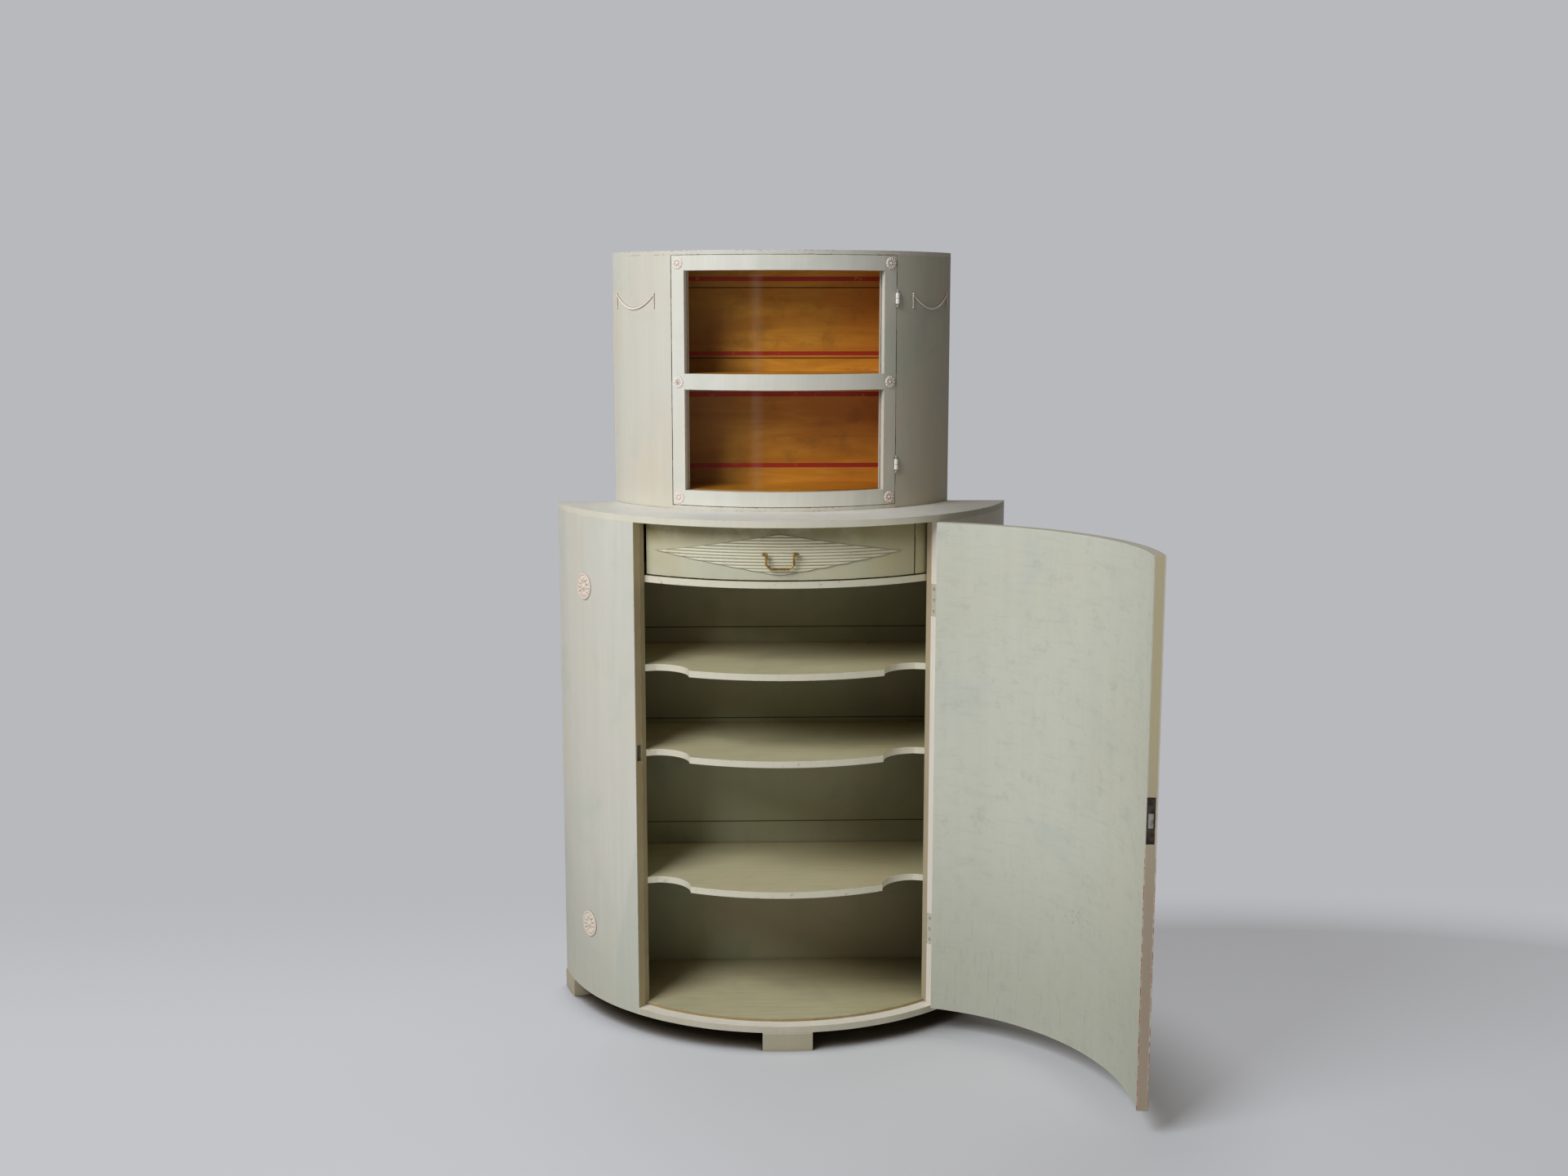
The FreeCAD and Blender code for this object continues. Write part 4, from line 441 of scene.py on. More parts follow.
def bare_back(look, colour, face):
    """Only the face that looks into the case is painted: behind it the boards are bare and dark."""
    ring = look.patches(0.3, 0.75, 1, 5, 0.6, look.stretched(1.2, 30, 60), distortion=0.4)
    bare = look.stain(tint("#86704f"), ring, "#735b3d")
    boards = look.patches(0.4, 0.6, 1, 1, 0.5, look.stretched(0.2, 0.2, 4.5))
    bare = look.stain(bare, boards, "#977f5c", 0.5)
    behind = look.ease(look.split()[1], face + 0.0015, face + 0.0025)
    return look.mix(behind, colour, bare)


def seamed(look, colour, seams, half_width, tone):
    """Dark lines along the seams between boards."""
    height = look.split()[2]
    for seam in seams:
        line = look.span(height, seam - half_width, seam + half_width, LINE_SOFT)
        colour = look.stain(colour, line, tone, 0.9)
    return colour


def inner_paint():
    """The dull paint inside the carcass, with painted shade in its corners, and browner to the
    right.
    """
    look = Look("inner_paint_look")
    right = look.ease(look.split()[0], 0.05, 0.42)
    colour = look.stain(brushed(look, *INNER), right, "#a08a60", 0.35)
    level = look.ease(look.levelness(), 0.5, 0.9)
    colour = look.mix(level, colour, brushed(look, *SHELF))
    # painted shade: a wide occlusion mask darkens the deep corners of the carcass
    colour = look.stain(colour, look.hollow(0.3, 0.62, 0.12, samples=10), "#5b5236", 0.4)
    colour = bare_back(look, colour, LOWER_BACK_FACE)
    colour = seamed(look, colour, LOWER_SEAMS, 0.0011, "#14100a")
    return aged(look, colour, WORN, "#4f4328", wear=0, roughness=0.6, dirt_and_shade=0.55, streaks=0.6)


def shelf_paint(name, edge_tone, spot_tone, corner_shade_tone, corner_shade):
    """Beige-green tops with fine streaks along the shelf, painted shade in the corners, and an edge
    in its own tone.
    """
    look = Look(name)
    streak = look.patches(0.48, 0.7, 1, 4, 0.7, look.stretched(6, 170, 170))
    colour = look.stain(brushed(look, *SHELF), streak, "#a3986f", 0.35)
    right = look.ease(look.split()[0], 0.05, 0.3)
    colour = look.stain(colour, right, "#a3935c", 0.35)
    # painted shade: a wide occlusion mask darkens the corners of the shelves and the floor board
    colour = look.stain(colour, look.hollow(0.3, 0.62, 0.12, samples=10), corner_shade_tone, corner_shade)
    front = look.stain(tint(edge_tone), look.patches(0.6, 0.68, 60, 4, 0.75), spot_tone, 0.5)
    colour = look.mix(look.ease(look.levelness(), 0.7, 0.4), colour, front)
    return aged(look, colour, WORN, "#7a5f38", wear=0.45, roughness=0.55, dirt_and_shade=0.35, streaks=0.6)


def post_paint():
    """Jamb posts: tan on the left, pinkish cream on the right."""
    look = Look("post_paint_look")
    right = look.ease(look.split()[0], -0.01, 0.01)
    colour = look.mix(
        right, brushed(look, "#a89874", "#ad9a70", "#9c9270"),
        brushed(look, "#b6a88c", "#baa887", "#aea388"),
    )
    return aged(look, colour, "#c9bda2", "#7a6240", wear=0.4)


def drawer_tones(look):
    """Pale green-beige, stained yellow to the left, with a greenish-brown painted shadow under the
    top board and painted shade towards the right.
    """
    x, _, height = look.split()
    colour = brushed(look, "#c9c6ac", "#cfc59c", "#bfc1ab")
    # painted shadow under the overhanging top board: the top of the drawer front is darkened
    top = look.ease(height, DRAWER_TOP - 0.062, DRAWER_TOP - 0.006)
    cloudy = look.patches(0.25, 0.6, 14, 4, 0.65)
    shadow_under_top = look.times(top, look.plus(look.times(cloudy, 0.4), 0.45))
    colour = look.stain(colour, shadow_under_top, "#857a4a")
    # painted shade: darker towards the right
    colour = look.stain(colour, look.ease(x, 0.1, 0.27), "#9c9260", 0.3)
    left = look.times(look.ease(x, -0.12, -0.27), look.patches(0.3, 0.6, 11, 3))
    colour = look.stain(colour, left, "#a8934e", 0.2)
    gaps = look.most(
        look.span(x, DRAWER_RIGHT, DRAWER_RIGHT + DRAWER_GAP, LINE_SOFT),
        look.ease(height, DRAWER_LOW + 0.0008, DRAWER_LOW + 0.0003),
    )
    colour = look.stain(colour, gaps, "#1e170c")
    above = look.minus(height, LOZENGE_MIDDLE.z)
    share = look.plus(
        look.math("DIVIDE", look.size(look.minus(x, LOZENGE_MIDDLE.x)), LOZENGE_SPAN.x),
        look.math("DIVIDE", look.size(above), LOZENGE_SPAN.z),
    )
    # painted shade: a dark line round the lozenge, stronger along its lower edges
    lozenge_shade_strength = look.plus(look.times(look.ease(above, 0.004, -0.004), 0.3), 0.15)
    rim = look.times(look.span(share, 1.0, 1.04, 0.012), lozenge_shade_strength)
    return look.stain(colour, rim, "#544a26"), cloudy


def drawer_paint():
    look = Look("drawer_paint_look")
    colour, _ = drawer_tones(look)
    return aged(look, colour, "#ddd7be", "#6b5c34", dirt_and_shade=0.6, streaks=0.45)


def reeded_paint():
    """The drawer's paint on the reeded lozenge, with painted highlights on the ridges and painted
    shade in the valleys.
    """
    look = Look("reeded_paint")
    radius = look.around(LOWER_CENTRE)[1]
    colour, cloudy = drawer_tones(look)
    # painted highlight on the ridges of the reeds
    ridge = look.ease(radius, REED_FACE + 0.0012, REED_FACE + 0.0028)
    colour = look.stain(colour, ridge, "#e2dcc2", 0.7)
    # painted shade in the valleys between the reeds
    valley = look.ease(radius, REED_FACE + 0.0014, REED_FACE + 0.0005)
    colour = look.stain(colour, valley, "#675d38", 0.6)
    look.relief(look.noise(220, 3, 0.6), 0.08, 0.0004, 0.0001)
    return look.finish(colour, look.plus(look.times(cloudy, 0.15), 0.4))


def ornament_paint(name, *tones):
    """Pinkish cream over carved relief, with brown painted shade in its hollows."""
    look = Look(name)
    # painted shade: the carving's hollows are darkened brown where shade falls
    deep = look.hollow(0.005, 0.8, 0.38, samples=12)
    colour = look.stain(brushed(look, *tones), deep, "#6a5640", 0.75)
    look.relief(look.noise(400, 3, 0.6), 0.1, 0.0003, 0.0002)
    return look.finish(colour, look.plus(look.times(look.noise(90, 3), 0.2), 0.35))


def drum_paint(name, wear, tones):
    """The vitrine's curved side: dark in the gap along the door, with painted shade round what is
    applied to it.
    """
    look = Look(name)
    angle = look.size(look.around(VITRINE_CENTRE)[0])
    # painted shade round the garlands and other applied pieces, where their shadow falls
    ornament_shade = look.hollow(0.004, 0.9, 0.5, samples=8)
    colour = look.stain(brushed(look, *tones), ornament_shade, "#5c4c36", 0.4)
    jamb = look.ease(angle, DRUM_JAMB + 0.0012, DRUM_JAMB + 0.0004)
    return aged(look, look.stain(colour, jamb, GAP), WORN, UNDER, wear)


def frame_paint(name, wear, tones):
    """The vitrine door's frame: pale, with dark outer edges that the gap round the door shows."""
    look = Look(name)
    angle, _, height = look.around(VITRINE_CENTRE)
    rim = look.most(
        look.ease(look.size(angle), FRAME_SIDE - 0.0014, FRAME_SIDE - 0.0006),
        look.ease(height, FRAME_TOP - 0.0006, FRAME_TOP - 0.0003),
        look.ease(height, FRAME_LOW + 0.0006, FRAME_LOW + 0.0003),
    )
    return aged(look, look.stain(brushed(look, *tones), rim, GAP), WORN, UNDER, wear)


def ledge_paint():
    """The lower tier's base, whose level ledge behind the door is brighter than its edge."""
    look = Look("ledge_paint")
    level = look.ease(look.levelness(), 0.5, 0.9)
    colour = look.stain(brushed(look, *LEDGE), level, "#fff9ea", 0.9)
    return aged(look, colour, WORN, UNDER, wear=0.7)


def top_paint():
    """The lower tier's top: pale, with painted light making the level top paler than its edge, and
    a painted shadow of the vitrine to its right.
    """
    look = Look("top_paint")
    colour = brushed(look, "#f3f2eb", "#f2ece1", "#ebebe2")
    # painted light: the level top is painted paler than its upright edge, as light falls on it from
    # above
    colour = look.stain(colour, look.ease(look.levelness(), 0.7, 0.4), "#dfdac6")
    # painted shadow of the vitrine, darkening the top to its right
    colour = look.stain(colour, look.ease(look.split()[0], 0.2, 0.42), "#a5a293", 0.6)
    return aged(look, colour, WORN, UNDER)


def rim_paint(name, lines):
    """Outer paint with brown specks where it has been knocked along the given heights."""
    look = Look(name)
    height = look.split()[2]
    near = look.most(*(look.span(height, line - 0.0016, line + 0.0016, 0.0012) for line in lines))
    knocks = look.times(near, look.patches(0.52, 0.6, 95, 4, 0.75), look.patches(0.4, 0.55, 8, 3))
    colour = look.stain(brushed(look, *OUTER), knocks, "#7d5c3a", 0.8)
    return aged(look, colour, WORN, UNDER, wear=0.8)


def foot_paint():
    look = Look("foot_paint_look")
    colour = brushed(look, "#b5ae98", "#b8ab8e", "#aaa794")
    return aged(look, colour, "#cfc6b0", "#6f6046", wear=0.7)


def leaf_paint():
    look = Look("painted_leaf")
    colour = brushed(look, *LEAF)
    return aged(look, colour, "#6f5f47", "#3d2f1e", wear=0.9, roughness=0.4, dirt_and_shade=0.8)


def barrel_paint():
    """White barrels whose slimmer finials have gone grey."""
    look = Look("painted_barrel")
    slim = look.ease(look.around(BARREL_AXIS)[1], 0.0046, 0.0040)
    colour = look.stain(brushed(look, *BARREL), slim, "#8f887a", 0.75)
    return aged(look, colour, "#d9d0bd", "#3d2f1e", wear=0.9, roughness=0.4, dirt_and_shade=0.8)


def stained_boards():
    """Orange-brown stained boards, with painted shade to the left and painted light to the right,
    and bands of red painted along the back.
    """
    look = Look("stained_boards")
    x, along, height = look.split()
    figure = look.noise(1, 5, 0.6, look.stretched(3, 3, 20), distortion=0.8)
    fine = look.noise(1, 4, 0.7, look.stretched(9, 9, 300))
    colour = look.stain(tint("#cb8418"), look.ease(figure, 0.35, 0.68), "#e8a532")
    colour = look.stain(colour, look.ease(fine, 0.5, 0.75), "#9a5210", 0.3)
    colour = look.stain(colour, look.patches(0.5, 0.72, 5.5, 4, 0.6), "#d6a83c", 0.5)
    colour = look.stain(colour, look.patches(0.5, 0.7, 17, 4, 0.7), "#8a6210", 0.4)
    # painted shade darkens the boards to the left, and painted light brightens them orange to the
    # right
    colour = look.stain(colour, look.ease(x, 0.02, -0.2), "#7f5a0e", 0.6)
    colour = look.stain(colour, look.ease(x, 0.02, 0.3), "#dc7a18", 0.35)
    bands = look.most(*(look.span(height, low, high, 0.0006) for low, high in STRIPES))
    on_back = look.ease(along, VITRINE_BACK_FACE - 0.002, VITRINE_BACK_FACE)
    bands = look.times(bands, on_back, look.patches(0.25, 0.42, 40, 4, 0.7))
    colour = look.stain(colour, bands, "#b02a14")
    colour = bare_back(look, colour, VITRINE_BACK_FACE)
    colour = seamed(look, colour, VITRINE_SEAMS, 0.0012, "#1c0d04")
    look.relief(look.plus(fine, figure), 0.12, 0.0006)
    return look.finish(colour, look.plus(look.times(figure, 0.2), 0.38))


def bare_wood():
    look = Look("bare_wood")
    ring = look.noise(1, 5, 0.6, look.stretched(30, 3.5, 30), distortion=1.0)
    fine = look.noise(1, 4, 0.7, look.stretched(300, 14, 300))
    colour = look.stain(tint("#b08f63"), look.ease(ring, 0.35, 0.7), "#8d6a42")
    colour = look.stain(colour, look.ease(fine, 0.5, 0.7), "#6f5030", 0.35)
    look.relief(look.plus(fine, ring), 0.15, 0.0006)
    return look.finish(colour, look.plus(look.times(fine, 0.15), 0.55))


def metal(name, pale, dark, spot, roughness, metallic=1.0):
    """Metal with darker clouds, and dirt in its pits and hollows."""
    look = Look(name)
    look.shader.inputs["Metallic"].default_value = metallic
    cloud = look.noise(70, 4, 0.65)
    pits = look.noise(900, 3, 0.6)
    colour = look.stain(tint(pale), look.ease(cloud, 0.38, 0.68), dark)
    colour = look.stain(colour, look.hollow(0.004, 0.9, 0.45), spot)
    colour = look.stain(colour, look.ease(pits, 0.6, 0.75), spot, 0.5)
    look.relief(look.plus(pits, cloud), 0.15, 0.0004, 0.0005)
    return look.finish(colour, look.plus(look.times(cloud, 0.35), roughness - 0.15))


def pane_glass():
    """A thin clear pane: it shows what is behind it, mirrors a little, holds some dusty drips and
    has a painted reflection, a pale upright streak.
    """
    look = Look("pane_glass")
    look.tree.nodes.remove(look.shader)
    bump = look.add("ShaderNodeBump", {
        "Height": look.noise(3, 2, 0.4), "Strength": 0.05, "Distance": 0.002,
    }).outputs[0]
    clear = look.add("ShaderNodeBsdfTransparent", {"Color": tint("#ffffff")}).outputs[0]
    mirror = look.add("ShaderNodeBsdfGlossy", {
        "Roughness": 0.02, "Color": tint("#ffffff"), "Normal": bump,
    }).outputs[0]
    fresnel = look.add("ShaderNodeFresnel", {"IOR": 1.2}).outputs[0]
    both = look.add("ShaderNodeMixShader", {0: look.times(fresnel, 0.22), 1: clear, 2: mirror})
    # painted reflection: a pale upright streak down the panes
    streak = look.span(look.split()[0], -0.07, -0.05, 0.009)
    drips = look.patches(0.55, 0.78, 1, 4, 0.7, look.stretched(90, 90, 1.5))
    dust_and_reflection_share = look.plus(look.times(streak, 0.018), look.times(drips, 0.006))
    dust_and_reflection_coat = look.add("ShaderNodeBsdfDiffuse", {"Color": tint("#e6dcc8")}).outputs[0]
    both = look.add("ShaderNodeMixShader", {0: dust_and_reflection_share, 1: both.outputs[0], 2: dust_and_reflection_coat})
    look.feed(look.output.inputs["Surface"], both.outputs[0])
    return look.material


carved = ornament_paint("ornament_look", *CARVING)
# painted light: a paler copy of the carving paint for the vitrine's ornaments
highlit_carved = ornament_paint("highlit_ornament_look", *HIGHLIT_CARVING)
tongue_shadow = metal("seam_shadow", "#241b10", "#16100a", "#0c0805", 0.8, 0.0)

# Looks by the slot that the part names, and then those of single pieces
SLOT_LOOKS = {
    "outer_paint": outer_paint(),
    "inner_paint": inner_paint(),
    "drawer_paint": drawer_paint(),
    "ornament": carved,
    "painted_hinge": leaf_paint(),
    "stained_wood": stained_boards(),
    "bare_wood": bare_wood(),
    "iron": metal("dark_iron", "#5a5148", "#3c352f", "#241f1a", 0.45, 0.9),
    "brass": metal("aged_brass", "#c9a45c", "#8a6a32", "#4a3718", 0.32),
    "glass": pane_glass(),
}
shelf = shelf_paint("shelf_paint_look", "#dfd9c3", "#96794c", "#6f6543", 0.15)
foot = foot_paint()
barrel = barrel_paint()
framed = frame_paint("frame_paint", 0.5, PALE_FRAME)
PIECE_LOOKS = {
    "left_side_panel": side_paint("left_side_paint", -1, "#bdab84"),
    "right_side_panel": side_paint("right_side_paint", 1, "#efe6da"),
    "lower_door_panel": door_paint(),
    "lower_top_board": top_paint(),
    "lower_base_board": ledge_paint(),
    "lower_floor_board": shelf_paint("floor_board_paint", "#a8946a", "#74502c", "#3c3620", 0.8),
    "bottom_shelf": shelf,
    "middle_shelf": shelf,
    "top_shelf": shelf,
    "drawer_divider": shelf,
    "drawer_lozenge": reeded_paint(),
    "jamb_posts": post_paint(),
    "front_foot": foot,
    "left_back_foot": foot,
    "right_back_foot": foot,
    "door_lock_bolt": metal("worn_steel", "#b9b6ac", "#77736a", "#3a352c", 0.4),
    "vitrine_left_panel": drum_paint("left_drum_paint", 0.5, OUTER),
    "vitrine_right_panel": drum_paint("right_drum_paint", 0.6, SHADED),
    "vitrine_top_board": rim_paint("vitrine_top_paint", RIM_EDGES),
    "vitrine_base_board": rim_paint("vitrine_base_paint", BASE_EDGES),
    "vitrine_left_stile": framed,
    "vitrine_right_stile": frame_paint("rubbed_stile_paint", 0.95, OUTER),
    "vitrine_top_rail": framed,
    "vitrine_middle_rail": framed,
    "vitrine_bottom_rail": framed,
    "vitrine_door_barrels": barrel,
    "vitrine_frame_barrels": barrel,
}

for name, node in nodes.items():
    slot_name = node.material_slots[0].material.name.split(".")[0]
    material = PIECE_LOOKS.get(name, SLOT_LOOKS.get(slot_name, SLOT_LOOKS["outer_paint"]))
    for slot in node.material_slots:
        slot.material = material


# Carved pieces, shaped on the curved face that carries them

def on_face(centre, radius, angle, height):
    """A point's place from its tangent, upward and outward offsets on a curved face."""
    def place(along, up, out):
        turned = angle + along / radius
        reach = radius + out
        return Vector((
            centre.x + reach * math.sin(turned), centre.y - reach * math.cos(turned), height + up,
        ))
    return place


def piece(name, build, body, slot, material, *replaced):
    """A smooth mesh that rides on a body and may stand in for CAD nodes; the slot it is given is
    not used.
    """
    mesh = bpy.data.meshes.new(name)
    bmesh.ops.recalc_face_normals(build, faces=build.faces)
    build.to_mesh(mesh)
    build.free()
    for face in mesh.polygons:
        face.use_smooth = True
    made = bpy.data.objects.new(name, mesh)
    bpy.context.scene.collection.objects.link(made)
    mesh.materials.append(material)
    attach(made, body)
    if replaced:
        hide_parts(*replaced)


def dome(share, middle, half_width):
    """Height of a round moulding, 1 over its middle and 0 from half_width away."""
    return math.sqrt(max(0, 1 - ((share - middle) / half_width) ** 2))


def rosette_height(share, turn):
    """Height of the carving, in millimetres, by share of the radius and direction."""
    beads = 26
    petals = 12
    level = 1.7
    if share < 0.25:
        level = max(level, 1.5 + 5.3 * dome(share, 0, 0.24))
    ring = dome(share, 0.3, 0.05)
    if ring:
        level = max(level, 2.2 + 1.3 * ring)
    if 0.35 < share < 0.83:
        rise = math.sin(math.pi * (share - 0.35) / 0.48) ** 0.6
        lobe = abs(math.cos(petals * turn / 2)) ** 0.55
        level = max(level - 0.7 * rise, 0.9 + 4.4 * rise * lobe)
    rim = dome(share, 0.91, 0.085)
    if rim:
        bead_height = abs(math.cos(beads * turn / 2)) ** 0.45
        level = max(level, 1.0 + 3.2 * rim * (0.35 + 0.65 * bead_height))
    return level


def small_height(share, turn):
    """Height of a small rosette: ten petals round a domed centre, in millimetres."""
    level = 0.8
    if share < 0.34:
        level = max(level, 0.9 + 2.5 * dome(share, 0, 0.33))
    petal = dome(share, 0.68, 0.31)
    if petal:
        lobe = abs(math.cos(5 * turn)) ** 0.6
        pit = 1 - 0.45 * dome(share, 0.7, 0.14) ** 2 * lobe ** 3
        level = max(level, 0.4 + 2.9 * petal * lobe * pit)
    return level


def key_height(share, turn):
    """The same rosette with a keyhole through its middle."""
    along = share * math.cos(turn)
    up = share * math.sin(turn)
    inside = share < 0.17 or (abs(along) < 0.09 and -0.42 < up < 0)
    return 0.12 if inside else small_height(share, turn)


def carve(build, place, radius, height_at, rings, spokes):
    """A closed round relief whose front rises by height_at, in millimetres."""
    turns = [2 * math.pi * spoke / spokes for spoke in range(spokes)]
    rows = []
    for ring in range(1, rings + 1):
        share = ring / rings
        reach = radius * share
        rows.append([
            build.verts.new(place(
                reach * math.cos(turn), reach * math.sin(turn), height_at(share, turn) / 1000,
            ))
            for turn in turns
        ])
    rows.append([
        build.verts.new(place(radius * math.cos(turn), radius * math.sin(turn), 0))
        for turn in turns
    ])
    tip = build.verts.new(place(0, 0, height_at(0, 0) / 1000))
    back = build.verts.new(place(0, 0, 0))
    for spoke in range(spokes):
        after = (spoke + 1) % spokes
        build.faces.new((tip, rows[0][spoke], rows[0][after]))
        build.faces.new((back, rows[-1][after], rows[-1][spoke]))
        for near, far in zip(rows, rows[1:]):
            build.faces.new((near[spoke], far[spoke], far[after], near[after]))


def make_rosettes():
    build = bmesh.new()
    for side in (-1, 1):
        for height in ROSETTE_HEIGHTS:
            place = on_face(LOWER_CENTRE, LOWER_RADIUS, side * ROSETTE_ANGLE, height)
            carve(build, place, ROSETTE_RADIUS, rosette_height, rings=44, spokes=208)
    piece("carved_side_rosettes", build, "carcass", "ornament", carved, "side_rosettes")


def make_small_rosettes():
    build = bmesh.new()
    for side in (-1, 1):
        for height in SMALL_HEIGHTS:
            place = on_face(VITRINE_CENTRE, VITRINE_RADIUS, side * SMALL_ANGLE, height)
            keyed = side < 0 and height == KEYED_HEIGHT
            height_at = key_height if keyed else small_height
            carve(build, place, SMALL_RADIUS, height_at, rings=30, spokes=120)
    piece(
        "carved_door_rosettes", build, "vitrine_door", "ornament", highlit_carved,
        "vitrine_door_rosettes",
    )


def sweep(build, place, points, radii, sides=14):
    """A closed round strand through points of (along, up, out), thickened by radii."""
    rows = []
    for index, (along, up, out) in enumerate(points):
        before = points[max(index - 1, 0)]
        after = points[min(index + 1, len(points) - 1)]
        way = Vector((after[0] - before[0], after[1] - before[1])).normalized()
        row = []
        for side in range(sides):
            turn = 2 * math.pi * side / sides
            level = math.cos(turn) * radii[index]
            row.append(build.verts.new(place(
                along - way.y * level, up + way.x * level, out + math.sin(turn) * radii[index],
            )))
        rows.append(row)
    for near, far in zip(rows, rows[1:]):
        for side in range(sides):
            after = (side + 1) % sides
            build.faces.new((near[side], far[side], far[after], near[after]))
    build.faces.new(rows[0])
    build.faces.new(rows[-1])


def bead(build, place, along, up, out, radius, length):
    """A turned bead, a little fuller below its middle, round an upright axis."""
    steps = 12
    points = []
    radii = []
    for step in range(steps + 1):
        share = step / steps
        bulge = math.sin(math.pi * share) ** 0.62
        points.append((along, up - length * (share - 0.5), out))
        radii.append(radius * (0.12 + 0.88 * bulge * (0.88 + 0.12 * share)))
    sweep(build, place, points, radii, 16)


def swag(build, place):
    """The hanging cord, thicker and lower in its middle, with three beads there."""
    steps = 60
    points = []
    radii = []
    for step in range(steps + 1):
        share = 2 * step / steps - 1
        twist = 1 + 0.12 * math.sin(step * 2.1)
        points.append((share * GARLAND_HALF, GARLAND_RISE * share * share, GARLAND_OUT))
        radii.append((0.0013 + 0.0011 * (1 - share * share)) * twist)
    sweep(build, place, points, radii)
    bead(build, place, 0, -0.0012, 0.0018, radius=0.0021, length=0.0036)
    for side in (1, -1):
        bead(build, place, side * 0.0030, -0.0004, 0.0016, radius=0.0015, length=0.0028)


def tassel(build, place, along):
    """A string of seven beads that shrink downwards, with a drop at its end."""
    pitch = 0.0039
    up = GARLAND_RISE + 0.0020
    for number in range(7):
        radius = 0.0021 - 0.0001 * number
        bead(build, place, along, up, GARLAND_OUT, radius, length=0.0040)
        up -= pitch
    bead(build, place, along, up - 0.0012, GARLAND_OUT, radius=0.0018, length=0.0072)


def make_garlands():
    build = bmesh.new()
    for side in (-1, 1):
        place = on_face(VITRINE_CENTRE, VITRINE_RADIUS, side * GARLAND_ANGLE, GARLAND_LOWEST)
        swag(build, place)
        for end in (-1, 1):
            tassel(build, place, end * GARLAND_HALF)
    piece("beaded_garlands", build, "carcass", "ornament", highlit_carved, "vitrine_garlands")


def make_tongues():
    """Dark loose tongues in the seams between the back boards, with a bead along each face."""
    half_depth = 0.0020
    half_height = 0.0008
    turns = [math.pi * step / 8 for step in range(9)]
    outline = [
        (TONGUE_DEPTH - half_depth - half_height * math.sin(turn), -half_height * math.cos(turn))
        for turn in turns
    ]
    outline += [(TONGUE_DEPTH + half_depth, up) for up in (half_height, -half_height)]
    build = bmesh.new()
    for half_length, seams in TONGUES:
        for seam in seams:
            left, right = (
                [build.verts.new((side * half_length, along, seam + up)) for along, up in outline]
                for side in (-1, 1)
            )
            for index in range(len(outline)):
                after = (index + 1) % len(outline)
                build.faces.new((left[index], left[after], right[after], right[index]))
            build.faces.new(left)
            build.faces.new(right)
    piece("seam_tongues", build, "carcass", "bare_wood", tongue_shadow)


make_rosettes()
make_small_rosettes()
make_garlands()
make_tongues()


# Floor, light and camera

BACKDROP = "#b8b9bd"
FLOOR_GLOW = "#c4c5c9"
FLOOR_RADIUS = 30
FLOOR_MIDDLE = (1.0, -0.3, 0)
FLOOR_REACH = (1.9, 1.15, 1)
FAR_SHARES = (0.5, 1.15)
SHADE_MIDDLE = (0.1, -0.25, 0)
SHADE_REACH = (0.45, 0.92)
IMAGE_WIDTH = 1920
FOCAL_PIXELS = 2176.7
SENSOR_WIDTH = 36
CAMERA_PLACE = (-0.1223, -3.5909, 1.552)
CAMERA_PITCH = -0.155
CAMERA_YAW = -0.031
CAMERA_SHIFT = 0.0011


def floor_look():
    """A plain pale floor that fades into the backdrop, with the shadow kept near the part, a
    painted contact shadow under it and a glow painted paler towards the front.
    """
    look = Look("studio_floor")
    look.shader.inputs["Roughness"].default_value = 0.9
    look.shader.inputs["Specular IOR Level"].default_value = 0.1
    # painted contact shadow: an occlusion mask darkens the floor under and round the part
    contact_shadow = look.hollow(0.17, 0.75, 0.25, samples=12)
    look.feed(look.shader.inputs["Base Color"], look.stain(tint("#e4e6ea"), contact_shadow, "#51473a"))
    share = look.vector("DIVIDE", look.vector("SUBTRACT", look.place, FLOOR_MIDDLE), FLOOR_REACH)
    far = look.ease(look.vector("LENGTH", share, result="Value"), *FAR_SHARES)
    apart = look.vector("DISTANCE", look.place, SHADE_MIDDLE, result="Value")
    fade = look.most(far, look.times(look.ease(apart, *SHADE_REACH), 0.6))
    fade = look.times(fade, look.minus(1, contact_shadow))
    along = look.split()[1]
    # painted light: the glow is paler across the front of the floor
    front = look.times(look.ease(along, 1.1, -0.1), look.ease(along, -3.4, -1.2))
    glow = look.add("ShaderNodeEmission", {
        "Color": look.stain(tint(BACKDROP), front, FLOOR_GLOW), "Strength": 1,
    })
    rays = look.add("ShaderNodeLightPath").outputs
    seen = look.most(rays["Is Camera Ray"], rays["Is Glossy Ray"], rays["Is Transmission Ray"])
    both = look.add("ShaderNodeMixShader", {
        0: look.times(fade, seen), 1: look.shader.outputs[0], 2: glow.outputs[0],
    })
    look.feed(look.output.inputs["Surface"], both.outputs[0])
    return look.material


def make_floor():
    mesh = bpy.data.meshes.new("floor")
    build = bmesh.new()
    bmesh.ops.create_circle(build, cap_ends=True, radius=FLOOR_RADIUS, segments=64)
    build.to_mesh(mesh)
    build.free()
    floor = bpy.data.objects.new("floor", mesh)
    bpy.context.scene.collection.objects.link(floor)
    mesh.materials.append(floor_look())


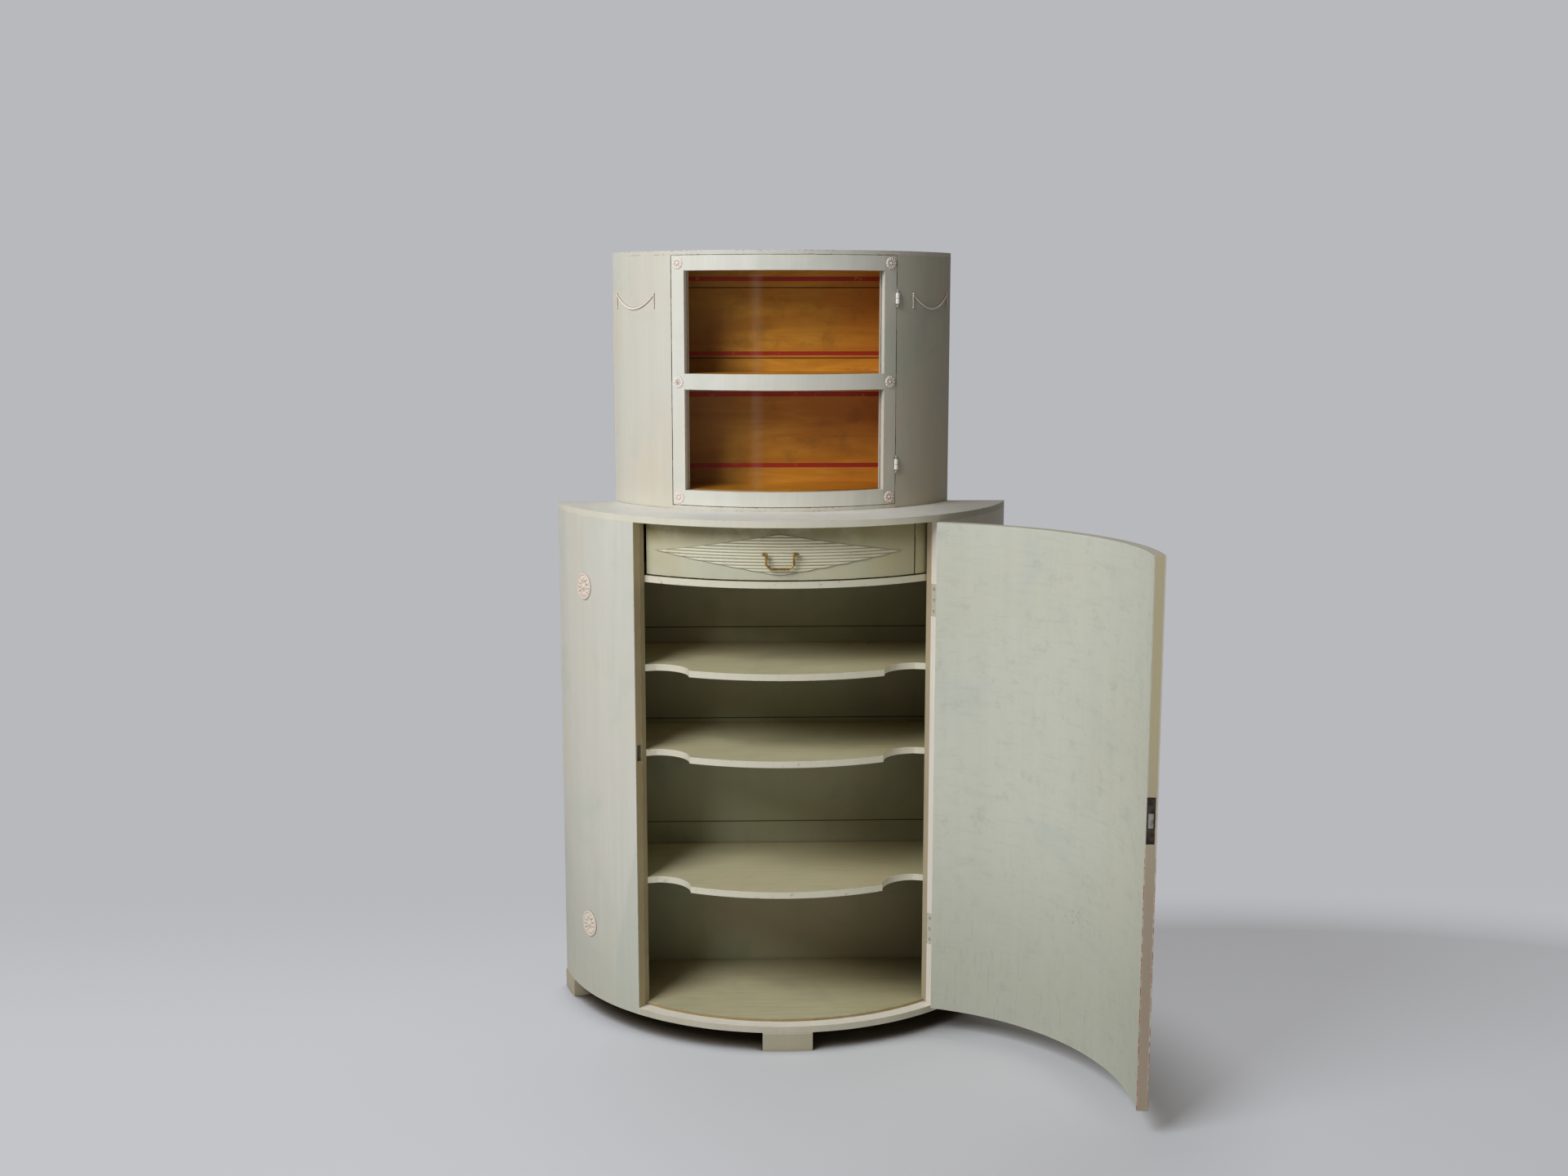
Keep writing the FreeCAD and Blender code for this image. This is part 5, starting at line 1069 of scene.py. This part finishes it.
def make_world():
    """Weak warm light from all round, behind a backdrop that the camera sees as plain grey."""
    world = bpy.data.worlds.new("studio")
    bpy.context.scene.world = world
    world.use_nodes = True
    tree = world.node_tree
    light = tree.nodes["Background"]
    light.inputs["Color"].default_value = tint("#fff4e2")
    light.inputs["Strength"].default_value = 0.12
    backdrop = tree.nodes.new("ShaderNodeBackground")
    backdrop.inputs["Color"].default_value = tint(BACKDROP)
    rays = tree.nodes.new("ShaderNodeLightPath")
    seen = tree.nodes.new("ShaderNodeMath")
    seen.operation = "MAXIMUM"
    tree.links.new(rays.outputs["Is Camera Ray"], seen.inputs[0])
    tree.links.new(rays.outputs["Is Transmission Ray"], seen.inputs[1])
    both = tree.nodes.new("ShaderNodeMixShader")
    tree.links.new(seen.outputs[0], both.inputs[0])
    tree.links.new(light.outputs[0], both.inputs[1])
    tree.links.new(backdrop.outputs[0], both.inputs[2])
    tree.links.new(both.outputs[0], tree.nodes["World Output"].inputs["Surface"])


def softbox(name, place, aim, side, power, colour):
    """A square lamp at a place, turned to face its aim."""
    data = bpy.data.lights.new(name, "AREA")
    data.shape = "SQUARE"
    data.size = side
    data.energy = power
    data.color = tint(colour)[:3]
    lamp = bpy.data.objects.new(name, data)
    bpy.context.scene.collection.objects.link(lamp)
    lamp.location = place
    lamp.rotation_euler = (Vector(aim) - Vector(place)).to_track_quat("-Z", "Y").to_euler()


def make_camera():
    data = bpy.data.cameras.new("camera")
    data.sensor_width = SENSOR_WIDTH
    data.lens = FOCAL_PIXELS / IMAGE_WIDTH * SENSOR_WIDTH
    data.shift_x = CAMERA_SHIFT
    camera = bpy.data.objects.new("camera", data)
    bpy.context.scene.collection.objects.link(camera)
    camera.location = CAMERA_PLACE
    camera.rotation_euler = (math.pi / 2 + CAMERA_PITCH, 0, CAMERA_YAW)
    bpy.context.scene.camera = camera


make_floor()
make_world()
softbox("key", (-2.5, -2.5, 3.6), (0, 0.1, 0.8), 2.3, 165, "#f8fbff")
softbox("fill", (2.6, -2.6, 2.4), (0, 0.1, 0.9), 2.0, 0.5, "#fff4e6")
make_camera()
bpy.context.scene.view_settings.view_transform = "Standard"
